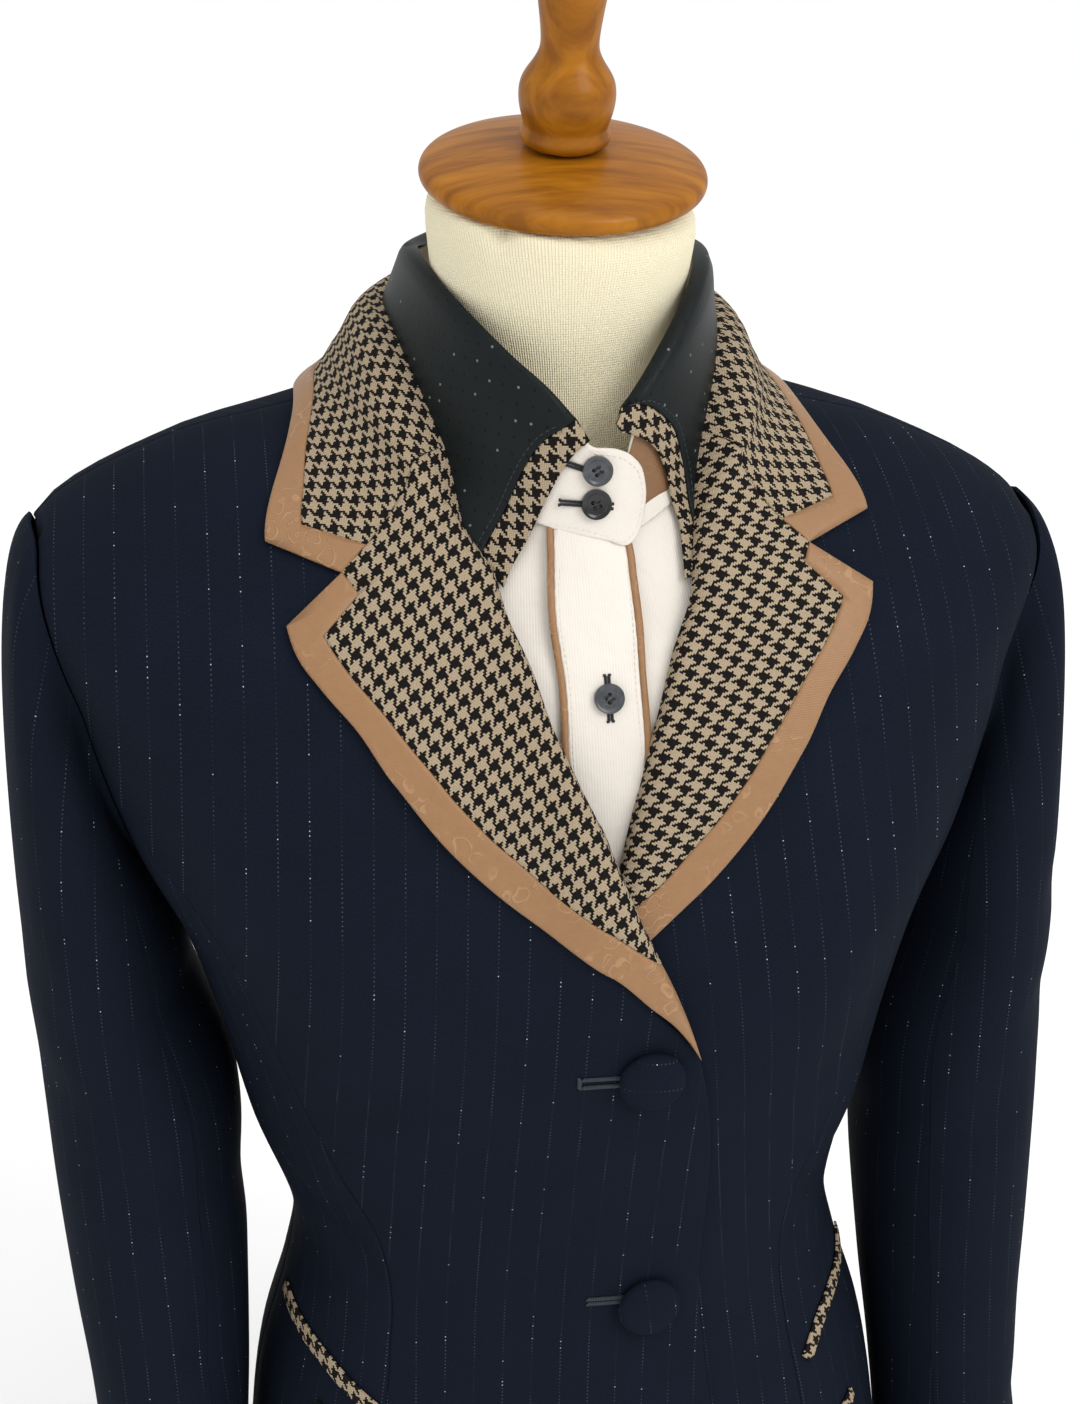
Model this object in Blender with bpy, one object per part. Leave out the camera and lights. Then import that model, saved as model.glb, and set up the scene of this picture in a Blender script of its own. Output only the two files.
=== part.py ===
"""Showmanship suit jacket and its shirt, worn by a limbless tabletop dress form.

Sizes are in millimetres and are turned to metres when a mesh is made. The front faces -Y,
the wearer's left is +X, and the form stands on Z = 0. A place on the cloth is given by its
girth, the angle round the body from the centre front, and its level, the height that it has
at the centre front above the waist.
"""
import math

import bmesh
import bpy
import numpy as np
from mathutils.geometry import delaunay_2d_cdt

MM = 0.001

# Driving dimensions
WAIST_HEIGHT = 330.0
SIDE_SHIFT = 2.5
FORWARD_SHIFT = 9.28
JACKET_CLOTH = 2.0
SHIRT_CLOTH = 1.2
SEAM_GAP = 0.3
SLEEVE_SEAM_GAP = 1.05
SHIRT_INSET = 9.0
FORM_INSET = 15.0
LEAF_INSET = 5.0
BODY_SHIFT = -2.5
NECK_LEAN = 5.0
SHOULDER_TILT = 0.043
SLEEVE_DROP = 272.0
HEM_LEVEL = -215.0
SHIRT_HEM_LEVEL = -165.0
UNDERARM_LEVEL = 163.0
SHOULDER_LEVEL = 255.0
NECK_LEVEL = 315.0
SHIRT_CENTRE = 3.5

# Girth sections of the jacket's outer face, from the hem to the collar's roll. "front", "side"
# and "back" are heights above the waist, "top" says how far the cloth there faces upwards,
# "square" is the section's corner power and "rise" shapes the way from front height to side.
SECTION_COLUMNS = ("level", "front", "side", "back", "half_width", "front_depth", "side_depth",
                   "back_depth", "square", "rise", "top")
SECTIONS = (
    (-310, -310, -310, -310, 152, -128, 0, 126, 2.15, 2.0, 0.0),
    (-222, -222, -222, -222, 151, -128, 0, 126, 2.15, 2.0, 0.0),
    (-150, -150, -150, -150, 147, -123, -2, 120, 2.15, 2.0, 0.0),
    (-80, -80, -80, -80, 137, -115, -6, 104, 2.15, 2.0, 0.0),
    (-40, -40, -40, -40, 125, -111, -9, 93, 2.10, 2.0, 0.0),
    (-10, -10, -10, -10, 119, -110, -11, 86, 2.10, 2.0, 0.0),
    (50, 50, 50, 52, 135, -119, -8, 92, 2.10, 2.0, 0.0),
    (100, 100, 100, 104, 146, -130, -5, 100, 2.15, 2.0, 0.0),
    (140, 140, 142, 146, 158, -134, -2, 106, 2.25, 2.0, 0.0),
    (175, 175, 178, 184, 174, -132, 0, 110, 2.35, 2.0, 0.0),
    (215, 213, 235, 226, 191, -127, 3, 112, 2.35, 2.0, 0.15),
    (255, 250, 300, 276, 202, -119, 7, 106, 2.20, 2.0, 0.7),
    (285, 282, 331, 326, 149, -109, 9, 88, 2.10, 2.0, 1.0),
    (315, 312, 352, 372, 78, -98, 12, 62, 2.00, 2.0, 0.5),
    (340, 335, 386, 402, 68, -97, 6, 62, 2.00, 1.5, 0.1),
    (365, 359, 407, 418, 63, -97, -6, 47, 2.00, 1.1, 0.0),
)
BUST = {"level": 146, "girth": 36, "height": 52, "spread": 17, "fullness": 13}

# Seams that run up the body: level against girth
FRONT_PRINCESS = ((HEM_LEVEL, 40.0), (-150, 40.0), (-60, 41.0), (-12, 43.5), (26, 44.0),
                  (56, 48.5), (95, 53.0), (122, 55.0), (153, 56.5), (172, 60.5), (186, 67.5),
                  (200, 77.5))
BACK_PRINCESS = ((HEM_LEVEL, 148.0), (-120, 148.0), (-12, 150.0), (60, 146.0), (120, 140.0),
                 (170, 130.0), (207, 112.0))

# Armhole from the shoulder tip down the front to the underarm, and up the back
ARMHOLE_FRONT = ((SHOULDER_LEVEL, 90.0), (250, 76.0), (238, 73.5), (226, 74.5), (213, 76.5),
                 (200, 77.5), (180, 81.5), (UNDERARM_LEVEL, 90.0))
ARMHOLE_BACK = ((UNDERARM_LEVEL, 90.0), (171, 101.0), (188, 109.0), (207, 112.0), (230, 110.0),
                (248, 102.0), (SHOULDER_LEVEL, 90.0))

# Lapels, seen from the front: across and up
RIGHT_ROLL = ((-33, 301), (-24, 274), (-16, 248), (-7, 226), (5, 196), (14, 172), (20, 158),
              (25, 146), (30, 132), (34, 118))
LEFT_ROLL = ((41, 301), (30, 274), (21, 248), (14, 226), (5, 196), (-2, 172))
LAPEL_TIP = (110, 288)
LAPEL_OUTER = ((107, 278), (99, 267), (88, 254), (76, 235), (62, 215), (51, 202), (38, 189),
               (25, 178), (12, 167))
RIGHT_LAPEL_END = ((-2, 157), (-13, 146), (-22, 137), (-29, 127))
BAND_TOP = (83, 298)
BAND_CORNER = (97, 285)
BAND_INNER = ((90, 274), (77, 258), (65, 242), (53, 226), (43, 214), (33, 204), (20, 191),
              (8, 181))
RIGHT_BAND_END = ((-7, 170), (-18.5, 161))

# Gorge seam and collar: girth and level
GORGE = ((37.7, 289.0), (39.8, 296.5), (43.0, 305.0), (45.6, 313.0), (46.5, 324.0))
COLLAR_ROLL = ((46.5, 324.0), (56.0, 329.0), (70.0, 334.0), (90.0, 338.0), (130.0, 341.0),
               (180.0, 341.0))
COLLAR_OUTER = ((50.1, 286.0), (57.0, 292.0), (64.0, 297.0), (77.0, 303.0), (96.0, 305.5),
                (135.0, 304.0), (180.0, 303.0))
COLLAR_BAND_INNER = ((49.6, 292.5), (57.0, 297.5), (66.0, 302.0), (78.0, 307.0), (97.0, 310.0),
                     (135.0, 310.5), (180.0, 310.5))
COLLAR_STAND_OFF = ((286, 1.3), (300, 1.6), (308, 6.0), (316, 10.5), (326, 9.5), (335, 5.0),
                    (341, 0.8))

# Pocket trims on the side fronts, from the side seam to the front: girth and level
RIGHT_UPPER_TRIM = ((82.5, -38.0), (71.3, -43.0), (57.5, -50.0), (49.0, -56.5), (42.0, -62.0))
LEFT_UPPER_TRIM = ((79.5, -37.0), (71.8, -41.6), (59.2, -46.5), (51.2, -52.6), (43.3, -64.0))
RIGHT_LOWER_TRIM = ((57.5, -72.0), (51.0, -77.0), (44.0, -84.0))
LEFT_LOWER_TRIM = ((57.5, -98.0), (51.0, -103.0), (44.0, -110.0))
TRIM_WIDTH = 7.0

# Armhole of the sleeveless shirt, cut a little deeper than the jacket's
SHIRT_ARMHOLE_FRONT = ((262, 90.0), (252, 74.0), (235, 66.0), (215, 63.5), (191, 65.5),
                       (172, 74.0), (158, 90.0))
SHIRT_ARMHOLE_BACK = ((158, 90.0), (171, 105.0), (188, 113.0), (207, 116.0), (230, 114.0),
                      (250, 105.0), (262, 90.0))

# Shirt: girth and level, right over left, with the collar's end on the wearer's left
SHIRT_NECK_RIGHT = ((90.0, 315.0), (45.0, 316.0), (20.0, 320.0))
SHIRT_NECK_LEFT = ((16.0, 314.5), (45.0, 315.0), (90.0, 315.0))
SHIRT_NECK_CENTRE = (3.5, 319.0)
STAND_END = ((-14.0, 323.0), (-3.0, 322.5), (6.0, 319.5), (13.5, 315.6), (18.4, 320.5), (20.0, 327.0),
             (18.6, 334.5), (14.5, 342.0), (8.0, 349.0), (-2.0, 354.5), (-16.0, 356.5))
STAND_UNDERLAP = (-342.0, -348.0)
STAND_TOP_LEVEL = 356.5
STAND_LAP = 1.5
LEAF_FRONT_RIGHT = ((-7.0, 361.0), (-11.5, 355.0), (-16.9, 347.5), (-21.8, 335.8), (-24.9, 325.0),
                    (-26.3, 313.1), (-25.0, 306.5))
LEAF_UNDER_RIGHT = ((-25.0, 306.5), (-36.0, 309.5), (-45.0, 315.0), (-62.0, 322.0), (-90.0, 326.0),
                    (-135.0, 327.0), (-180.0, 327.0))
LEAF_FRONT_LEFT = ((7.1, 358.5), (10.0, 361.3), (17.6, 356.8), (26.2, 345.6), (32.9, 333.0),
                   (36.0, 320.7), (32.5, 312.0), (27.3, 304.8), (22.1, 298.4))
LEAF_UNDER_LEFT = ((22.1, 298.4), (33.0, 304.0), (45.0, 313.5), (62.0, 322.0), (90.0, 326.0),
                   (135.0, 327.0), (180.0, 327.0))
LEAF_ROLL_LEVEL = 364.5
INLAY_RIGHT = ((-2.0, 356.2), (-5.0, 352.0), (-8.3, 346.6), (-12.5, 335.5), (-16.4, 322.1),
               (-17.6, 307.0), (-16.5, 302.0))
INLAY_LEFT = ((9.5, 353.8), (18.2, 345.0), (25.3, 334.0), (29.2, 323.5), (29.0, 313.5),
              (24.9, 306.8), (19.8, 299.1))

# Shirt buttons: girth and level; jacket buttons: across, up and air below; their shapes are
# rows of radius and height
STAND_BUTTONS = ((1.2, 345.2), (1.6, 333.2))
PLACKET_BUTTON = (1.8, 270.5)
SHIRT_BUTTON = ((0.0, 0.0), (4.8, 0.0), (5.6, 0.6), (5.6, 1.6), (4.9, 2.1), (4.0, 1.7), (0.0, 1.5))
JACKET_BUTTONS = ((14.8, 111.5, 0.3), (16.8, -7.5, 0.9))
JACKET_BUTTON = ((0.0, 0.0), (11.0, 0.0), (13.0, 1.2), (13.5, 3.0), (12.4, 5.2), (9.5, 6.9),
                 (5.0, 7.8), (0.0, 8.1))
PLACKET_EDGES = (-11.6, 17.4)
PIPING_WIDTH = 2.5
PLACKET_AIR = 1.1

# Sleeve sections below the sleeve head: height above the waist, centre, half sizes
SLEEVE_COLUMNS = ("height", "across", "depth", "half_across", "half_depth")
SLEEVE_SECTIONS = (
    (112, 189, 6, 32.5, 62),
    (60, 180.5, 4, 39, 60),
    (20, 179.5, 1, 39, 58),
    (-40, 179, -6, 36, 54),
    (-80, 178.5, -12, 33, 51),
    (-120, 179.5, -18, 30.5, 48.5),
    (-190, 182, -29, 30, 45),
    (-SLEEVE_DROP, 182, -40, 29.5, 42),
)
SLEEVE_SIDES = 24
SLEEVE_HEAD_STEPS = 5
SLEEVE_ROWS = 9
SLEEVE_HEAD_REACH = 10.0
UNDER_SLEEVE_HALF_ANGLE = 60.0

# Neck cap and finial, on an axis that leans forward as the neck does
NECK_TILT = math.radians(13.3)
CAP_CENTRE = (4.0, -35.0, 436.0)
CAP_PROFILE = ((0.0, -1.5), (51.0, -1.5), (53.4, 0.0), (54.1, 2.6), (53.2, 5.2), (50.5, 7.2),
               (38.0, 10.6), (24.0, 12.6), (0.0, 13.4))
FINIAL_PROFILE = ((0.0, 13.8), (14.5, 13.8), (16.8, 15.6), (17.2, 18.2), (16.0, 20.4),
                  (15.8, 22.0), (17.6, 27.0), (18.3, 33.0), (17.4, 38.6), (13.4, 43.8),
                  (10.9, 48.4), (10.6, 52.6), (11.4, 60.0), (12.8, 69.0), (14.2, 78.0),
                  (14.6, 84.0), (12.6, 90.0), (7.4, 94.0), (0.0, 95.4))
TURNED_SIDES = 36
FINIAL_SIDES = 22
CAP_ROLL = math.radians(1.8)
NECK_BASE_CENTRE = (1.0, -9.0, 322.0)
NECK_ROUNDS = ((0.42, 47.5), (0.62, 48.0), (0.82, 50.5), (1.0, 53.0))
FORM_SIDES = 32
FORM_LEVELS = (-310, -240, -170, -110, -70, -35, 0, 40, 80, 120, 155, 188, 216, 238, 258, 278,
               296, 312)
FORM_SHOULDER_DROP = 10.5
FOOT_HEIGHT = 22.0
FOOT_PROFILE = ((0.0, 0.0), (128.0, 0.0), (132.0, 4.0), (132.0, 15.0), (127.0, FOOT_HEIGHT),
                (0.0, FOOT_HEIGHT))


def smooth(at, known, values):
    """Catmull-Rom curve through values at known places, also where these are uneven."""
    known = np.asarray(known, float)
    values = np.asarray(values, float)
    step = np.diff(known)
    shape = (-1,) + (1,) * (values.ndim - 1)
    step_wide = step.reshape(shape)
    slope = np.diff(values, axis=0) / step_wide
    tangent = np.empty_like(values)
    tangent[0] = slope[0]
    tangent[-1] = slope[-1]
    tangent[1:-1] = ((slope[:-1] * step_wide[1:] + slope[1:] * step_wide[:-1])
                     / (step_wide[1:] + step_wide[:-1]))
    at = np.asarray(at, float)
    piece = np.clip(np.searchsorted(known, at, side="right") - 1, 0, len(known) - 2)
    share = ((at - known[piece]) / step[piece])
    wide = share.reshape(share.shape + (1,) * (values.ndim - 1))
    length = step[piece].reshape(wide.shape)
    return ((2 * wide ** 3 - 3 * wide ** 2 + 1) * values[piece]
            + (wide ** 3 - 2 * wide ** 2 + wide) * length * tangent[piece]
            + (3 * wide ** 2 - 2 * wide ** 3) * values[piece + 1]
            + (wide ** 3 - wide ** 2) * length * tangent[piece + 1])


def ease(value):
    """Smooth step from 0 to 1."""
    value = np.clip(value, 0.0, 1.0)
    return value * value * (3 - 2 * value)


SECTION_TABLE = np.array(SECTIONS, float)


def body_point(girth, level, inset=0.0):
    """Point of the worn shape; inset draws it in towards the body for the layers below."""
    girth, level = np.broadcast_arrays(np.asarray(girth, float), np.asarray(level, float))
    row = smooth(level, SECTION_TABLE[:, 0], SECTION_TABLE[:, 1:])
    front, side, back, half_width, front_depth, side_depth, back_depth, square, rise, top = (
        row[..., index] for index in range(10))
    top = np.clip(top, 0, 1)
    turn = np.radians(girth)
    sine, cosine = np.sin(turn), np.cos(turn)
    forward = cosine > 0
    out = np.sign(sine) * np.abs(sine) ** (2 / square)
    ahead = np.abs(cosine) ** (2 / square)
    level_inset = inset * (1 - 0.55 * top)
    across = (half_width - level_inset) * out
    depth = side_depth + np.where(forward, front_depth + level_inset - side_depth,
                                  back_depth - level_inset - side_depth) * ahead
    sideways = np.abs(sine) ** rise
    height = side * sideways + np.where(forward, front, back) * (1 - sideways) - inset * top
    bust = (np.exp(-((level - BUST["level"]) / BUST["height"]) ** 2)
            * np.exp(-((np.abs(girth) - BUST["girth"]) / BUST["spread"]) ** 2)
            * BUST["fullness"])
    across = across + 0.5 * bust * out
    depth = depth - bust * np.maximum(cosine, 0)
    worn_high = ease((height - 250) / 100)
    across = across + BODY_SHIFT * (1 - worn_high)
    across = across + NECK_LEAN * ease((level - 290) / 75)
    height = height - SHOULDER_TILT * across * sine ** 4 * ease((level - 225) / 30)
    return np.stack([across, depth, height], axis=-1)


def body_normal(girth, level, inset=0.0):
    """Outward direction of the worn shape."""
    round_body = body_point(girth + 0.5, level, inset) - body_point(girth - 0.5, level, inset)
    up_body = body_point(girth, level + 1, inset) - body_point(girth, level - 1, inset)
    normal = np.cross(round_body, up_body)
    return normal / np.linalg.norm(normal, axis=-1, keepdims=True)


def place_on_front(across, up):
    """Girth and level of the front point that lies at these distances seen from the front."""
    girth = math.degrees(math.asin(max(-0.95, min(0.95, across / 200))))
    level = float(up)
    goal = np.array([across, up], float)
    for _ in range(30):
        here = body_point(girth, level)[[0, 2]]
        by_girth = (body_point(girth + 0.1, level)[[0, 2]] - here) / 0.1
        by_level = (body_point(girth, level + 0.1)[[0, 2]] - here) / 0.1
        move = np.linalg.solve(np.stack([by_girth, by_level], axis=1), goal - here)
        move = np.clip(move, -8, 8)
        girth += move[0]
        level += move[1]
    return girth, level


def front_line(rows, side=1):
    """Places on the front, from rows of across and up; side -1 is the wearer's right."""
    return [place_on_front(across * side, up) for across, up in rows]


def seam(rows, step, side=1, inset=0.0):
    """Smooth line through rows of girth and level, cut into pieces of about one step."""
    rows = np.array([(girth * side, level) for girth, level in rows], float)
    scale = np.array([2.2, 1.0])
    run = np.concatenate([[0], np.cumsum(np.linalg.norm(np.diff(rows * scale, axis=0), axis=1))])
    fine = smooth(np.linspace(0, run[-1], 20 * len(rows)), run, rows)
    points = body_point(fine[:, 0], fine[:, 1], inset)
    length = np.concatenate([[0], np.cumsum(np.linalg.norm(np.diff(points, axis=0), axis=1))])
    count = max(1, int(round(length[-1] / step)))
    at = np.linspace(0, length[-1], count + 1)
    return np.stack([np.interp(at, length, fine[:, 0]), np.interp(at, length, fine[:, 1])], axis=1)


def flip(rows):
    """Rows of level and girth as rows of girth and level."""
    return [(girth, level) for level, girth in rows]


def outline(*lines):
    """One closed outline from lines that follow each other; shared corners are kept once."""
    corners = []
    for line in lines:
        for corner in line:
            corner = (float(corner[0]), float(corner[1]))
            if not corners or math.dist(corner, corners[-1]) > 1e-6:
                corners.append(corner)
    if math.dist(corners[0], corners[-1]) < 1e-6:
        corners.pop()
    return np.array(corners)


def inside(points, polygon):
    """Whether each point lies inside the polygon."""
    found = np.zeros(len(points), bool)
    following = np.roll(polygon, -1, axis=0)
    for start, end in zip(polygon, following):
        crosses = (start[1] > points[:, 1]) != (end[1] > points[:, 1])
        rise = end[1] - start[1]
        where = start[0] + (points[:, 1] - start[1]) * (end[0] - start[0]) / (rise if rise else 1)
        found ^= crosses & (points[:, 0] < where)
    return found


def edge_distance(points, polygon):
    """Distance of each point from the polygon's edges."""
    nearest = np.full(len(points), 1e9)
    following = np.roll(polygon, -1, axis=0)
    for start, end in zip(polygon, following):
        along = end - start
        share = np.clip(((points - start) @ along) / max(along @ along, 1e-12), 0, 1)
        foot = start + share[:, None] * along
        nearest = np.minimum(nearest, np.linalg.norm(points - foot, axis=1))
    return nearest


def add_mesh(name, points, faces, finish):
    """Object with its mesh in metres, in the place where it is worn."""
    mesh = bpy.data.meshes.new(name)
    shifted = np.asarray(points, float) + np.array([SIDE_SHIFT, FORWARD_SHIFT, WAIST_HEIGHT])
    mesh.from_pydata((shifted * MM).tolist(), [], [list(face) for face in faces])
    mesh.materials.append(finish)
    mesh.validate()
    item = bpy.data.objects.new(name, mesh)
    bpy.context.scene.collection.objects.link(item)
    mesh.shade_smooth()
    mesh.set_sharp_from_angle(angle=math.radians(40))
    return item


def panel(name, edge, finish, lift, cloth=JACKET_CLOTH, step=22.0, inset=0.0):
    """Cloth panel: a wall of even thickness over the part of the body inside an outline.

    lift is the height of its inner face over the worn shape, a number or a function of girth
    and level.
    """
    middle = edge.mean(axis=0)
    spread = edge.max(axis=0) - edge.min(axis=0)
    wide = np.linalg.norm(body_point(middle[0] + 2, middle[1], inset)
                          - body_point(middle[0] - 2, middle[1], inset)) / 4
    low, high = edge[:, 1].min(), edge[:, 1].max()
    tall = max(1.0, np.linalg.norm(body_point(middle[0], high, inset)
                                   - body_point(middle[0], low, inset)) / max(high - low, 1e-6))
    scale = np.array([wide, min(tall, 2.2)])
    border = edge * scale
    area = 0.5 * np.sum(border[:, 0] * np.roll(border[:, 1], -1)
                        - np.roll(border[:, 0], -1) * border[:, 1])
    if area < 0:
        border = border[::-1]
    rows = int(spread[1] * scale[1] / (step * 0.87)) + 2
    columns = int(spread[0] * scale[0] / step) + 2
    start = border.min(axis=0)
    grid = [(start[0] + (column + 0.5 * (row % 2)) * step, start[1] + row * step * 0.87)
            for row in range(rows) for column in range(columns)]
    grid = np.array(grid)
    grid = grid[inside(grid, border)]
    if len(grid):
        grid = grid[edge_distance(grid, border) > 0.5 * step]
    flat = np.concatenate([border, grid]) if len(grid) else border
    count = len(border)
    result = delaunay_2d_cdt([tuple(corner) for corner in flat], [], [list(range(count))], 1, 1e-5)
    flat = np.array([tuple(corner) for corner in result[0]])
    triangles = [tuple(face) for face in result[2]]
    source = result[3]
    place = flat / scale
    on_edge = {}
    for index, sources in enumerate(source):
        for origin in sources:
            if origin < count:
                on_edge[origin] = index
    ring = [on_edge[origin] for origin in range(count)]
    girth, level = place[:, 0], place[:, 1]
    base = body_point(girth, level, inset)
    normal = body_normal(girth, level, inset)
    height = lift(girth, level) if callable(lift) else np.full(len(place), float(lift))
    ring_points = base[ring]
    ahead = np.roll(ring_points, -1, axis=0) - ring_points
    behind = ring_points - np.roll(ring_points, 1, axis=0)
    ahead /= np.linalg.norm(ahead, axis=1, keepdims=True)
    behind /= np.linalg.norm(behind, axis=1, keepdims=True)
    inward_ahead = np.cross(normal[ring], ahead)
    inward_behind = np.cross(normal[ring], behind)
    inward = inward_ahead + inward_behind
    inward /= np.linalg.norm(inward, axis=1, keepdims=True)
    mitre = np.clip(1 / np.maximum(np.sum(inward * inward_ahead, axis=1), 0.4), 1, 2.5)
    moved = base.copy()
    moved[ring] += inward * (SEAM_GAP / 2 * mitre)[:, None]
    inner = moved + normal * height[:, None]
    outer = inner + normal * cloth
    total = len(place)
    faces = []
    for face in triangles:
        first, second, third = place[list(face)] * scale
        turn = ((second[0] - first[0]) * (third[1] - first[1])
                - (third[0] - first[0]) * (second[1] - first[1]))
        ordered = face if turn > 0 else face[::-1]
        faces.append(ordered)
        faces.append(tuple(index + total for index in ordered[::-1]))
    for index in range(count):
        here, there = ring[index], ring[(index + 1) % count]
        faces.append((here, here + total, there + total))
        faces.append((here, there + total, there))
    return add_mesh(name, np.concatenate([outer, inner]), faces, finish)


def ring_body(name, rings, finish):
    """Closed body through rings of points, capped by a point where a ring has shrunk to one."""
    points = []
    starts = []
    for ring in rings:
        starts.append((len(points), len(ring)))
        points.extend(ring)
    faces = []
    for (low, low_count), (high, high_count) in zip(starts, starts[1:]):
        sides = max(low_count, high_count)
        for index in range(sides):
            following = (index + 1) % sides
            if low_count == 1:
                faces.append((low, high + following, high + index))
            elif high_count == 1:
                faces.append((low + index, low + following, high))
            else:
                faces.append((low + index, low + following, high + following, high + index))
    item = add_mesh(name, points, faces, finish)
    shape = bmesh.new()
    shape.from_mesh(item.data)
    bmesh.ops.recalc_face_normals(shape, faces=shape.faces)
    shape.to_mesh(item.data)
    shape.free()
    return item


def turned(name, profile, centre, axis, sides, finish, squash=1.0):
    """Turned body from rows of radius and distance along its axis."""
    axis = np.asarray(axis, float) / np.linalg.norm(axis)
    first = np.cross(axis, (0.0, 1.0, 0.0) if abs(axis[1]) < 0.8 else (1.0, 0.0, 0.0))
    first /= np.linalg.norm(first)
    second = np.cross(axis, first)
    rings = []
    for radius, along in profile:
        heart = np.asarray(centre, float) + axis * along
        if radius == 0:
            rings.append([heart])
            continue
        rings.append([heart + radius * (math.cos(turn) * first + squash * math.sin(turn) * second)
                      for turn in np.linspace(0, 2 * math.pi, sides, endpoint=False)])
    return ring_body(name, rings, finish)


def grid_wall(name, sheet, finish, cloth):
    """Wall on the inner side of a grid of points, rows by columns, with all its edges closed."""
    sheet = np.asarray(sheet, float)
    by_row = np.gradient(sheet, axis=0)
    by_column = np.gradient(sheet, axis=1)
    normal = np.cross(by_column, by_row)
    normal /= np.linalg.norm(normal, axis=-1, keepdims=True)
    inner = sheet - normal * cloth
    rows, columns = sheet.shape[:2]
    total = rows * columns
    faces = []
    for row in range(rows - 1):
        for column in range(columns - 1):
            first = row * columns + column
            square = (first, first + 1, first + columns + 1, first + columns)
            faces.append((square[0], square[1], square[2]))
            faces.append((square[0], square[2], square[3]))
            faces.append((square[2] + total, square[1] + total, square[0] + total))
            faces.append((square[3] + total, square[2] + total, square[0] + total))
    border = ([column for column in range(columns)]
              + [row * columns + columns - 1 for row in range(1, rows)]
              + [(rows - 1) * columns + column for column in range(columns - 2, -1, -1)]
              + [row * columns for row in range(rows - 2, 0, -1)])
    for here, there in zip(border, border[1:] + border[:1]):
        faces.append((here, here + total, there + total))
        faces.append((here, there + total, there))
    points = np.concatenate([sheet.reshape(-1, 3), inner.reshape(-1, 3)])
    return add_mesh(name, points, faces, finish)


def finish(name, red, green, blue, roughness):
    """Plain material in one colour, given in linear values."""
    material = bpy.data.materials.new(name)
    material.use_nodes = True
    shader = material.node_tree.nodes["Principled BSDF"]
    shader.inputs["Base Color"].default_value = (red, green, blue, 1.0)
    shader.inputs["Roughness"].default_value = roughness
    return material


def overlap_lift(girth, level):
    """The wearer's right front climbs over the left front, and over the left lapel's end."""
    point = body_point(girth, level)
    over_front = 3.1 * ease((point[..., 0] + 42) / 34)
    over_lapel = 4.5 * ease((point[..., 0] + 26) / 24) * ease((point[..., 2] - 122) / 30)
    return over_front + over_lapel - JACKET_CLOTH


def lapel_gap(level):
    """Air under the lapels, more where they roll at the neck."""
    return 0.9 + 1.4 * ease((level - 285) / 25) + 1.7 * np.exp(-((level - 228) / 24) ** 2)


def right_lapel_lift(girth, level):
    return overlap_lift(girth, level) + JACKET_CLOTH + lapel_gap(level)


def left_lapel_lift(girth, level):
    return lapel_gap(level)


def collar_lift(girth, level):
    """The collar's fall bridges the corner between the neck and the shoulder."""
    table = np.array(COLLAR_STAND_OFF, float)
    return smooth(np.clip(level, table[0, 0], table[-1, 0]), table[:, 0], table[:, 1])


def mirror(edge):
    """The same outline on the other side of the body."""
    return np.stack([-edge[:, 0], edge[:, 1]], axis=1)


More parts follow.
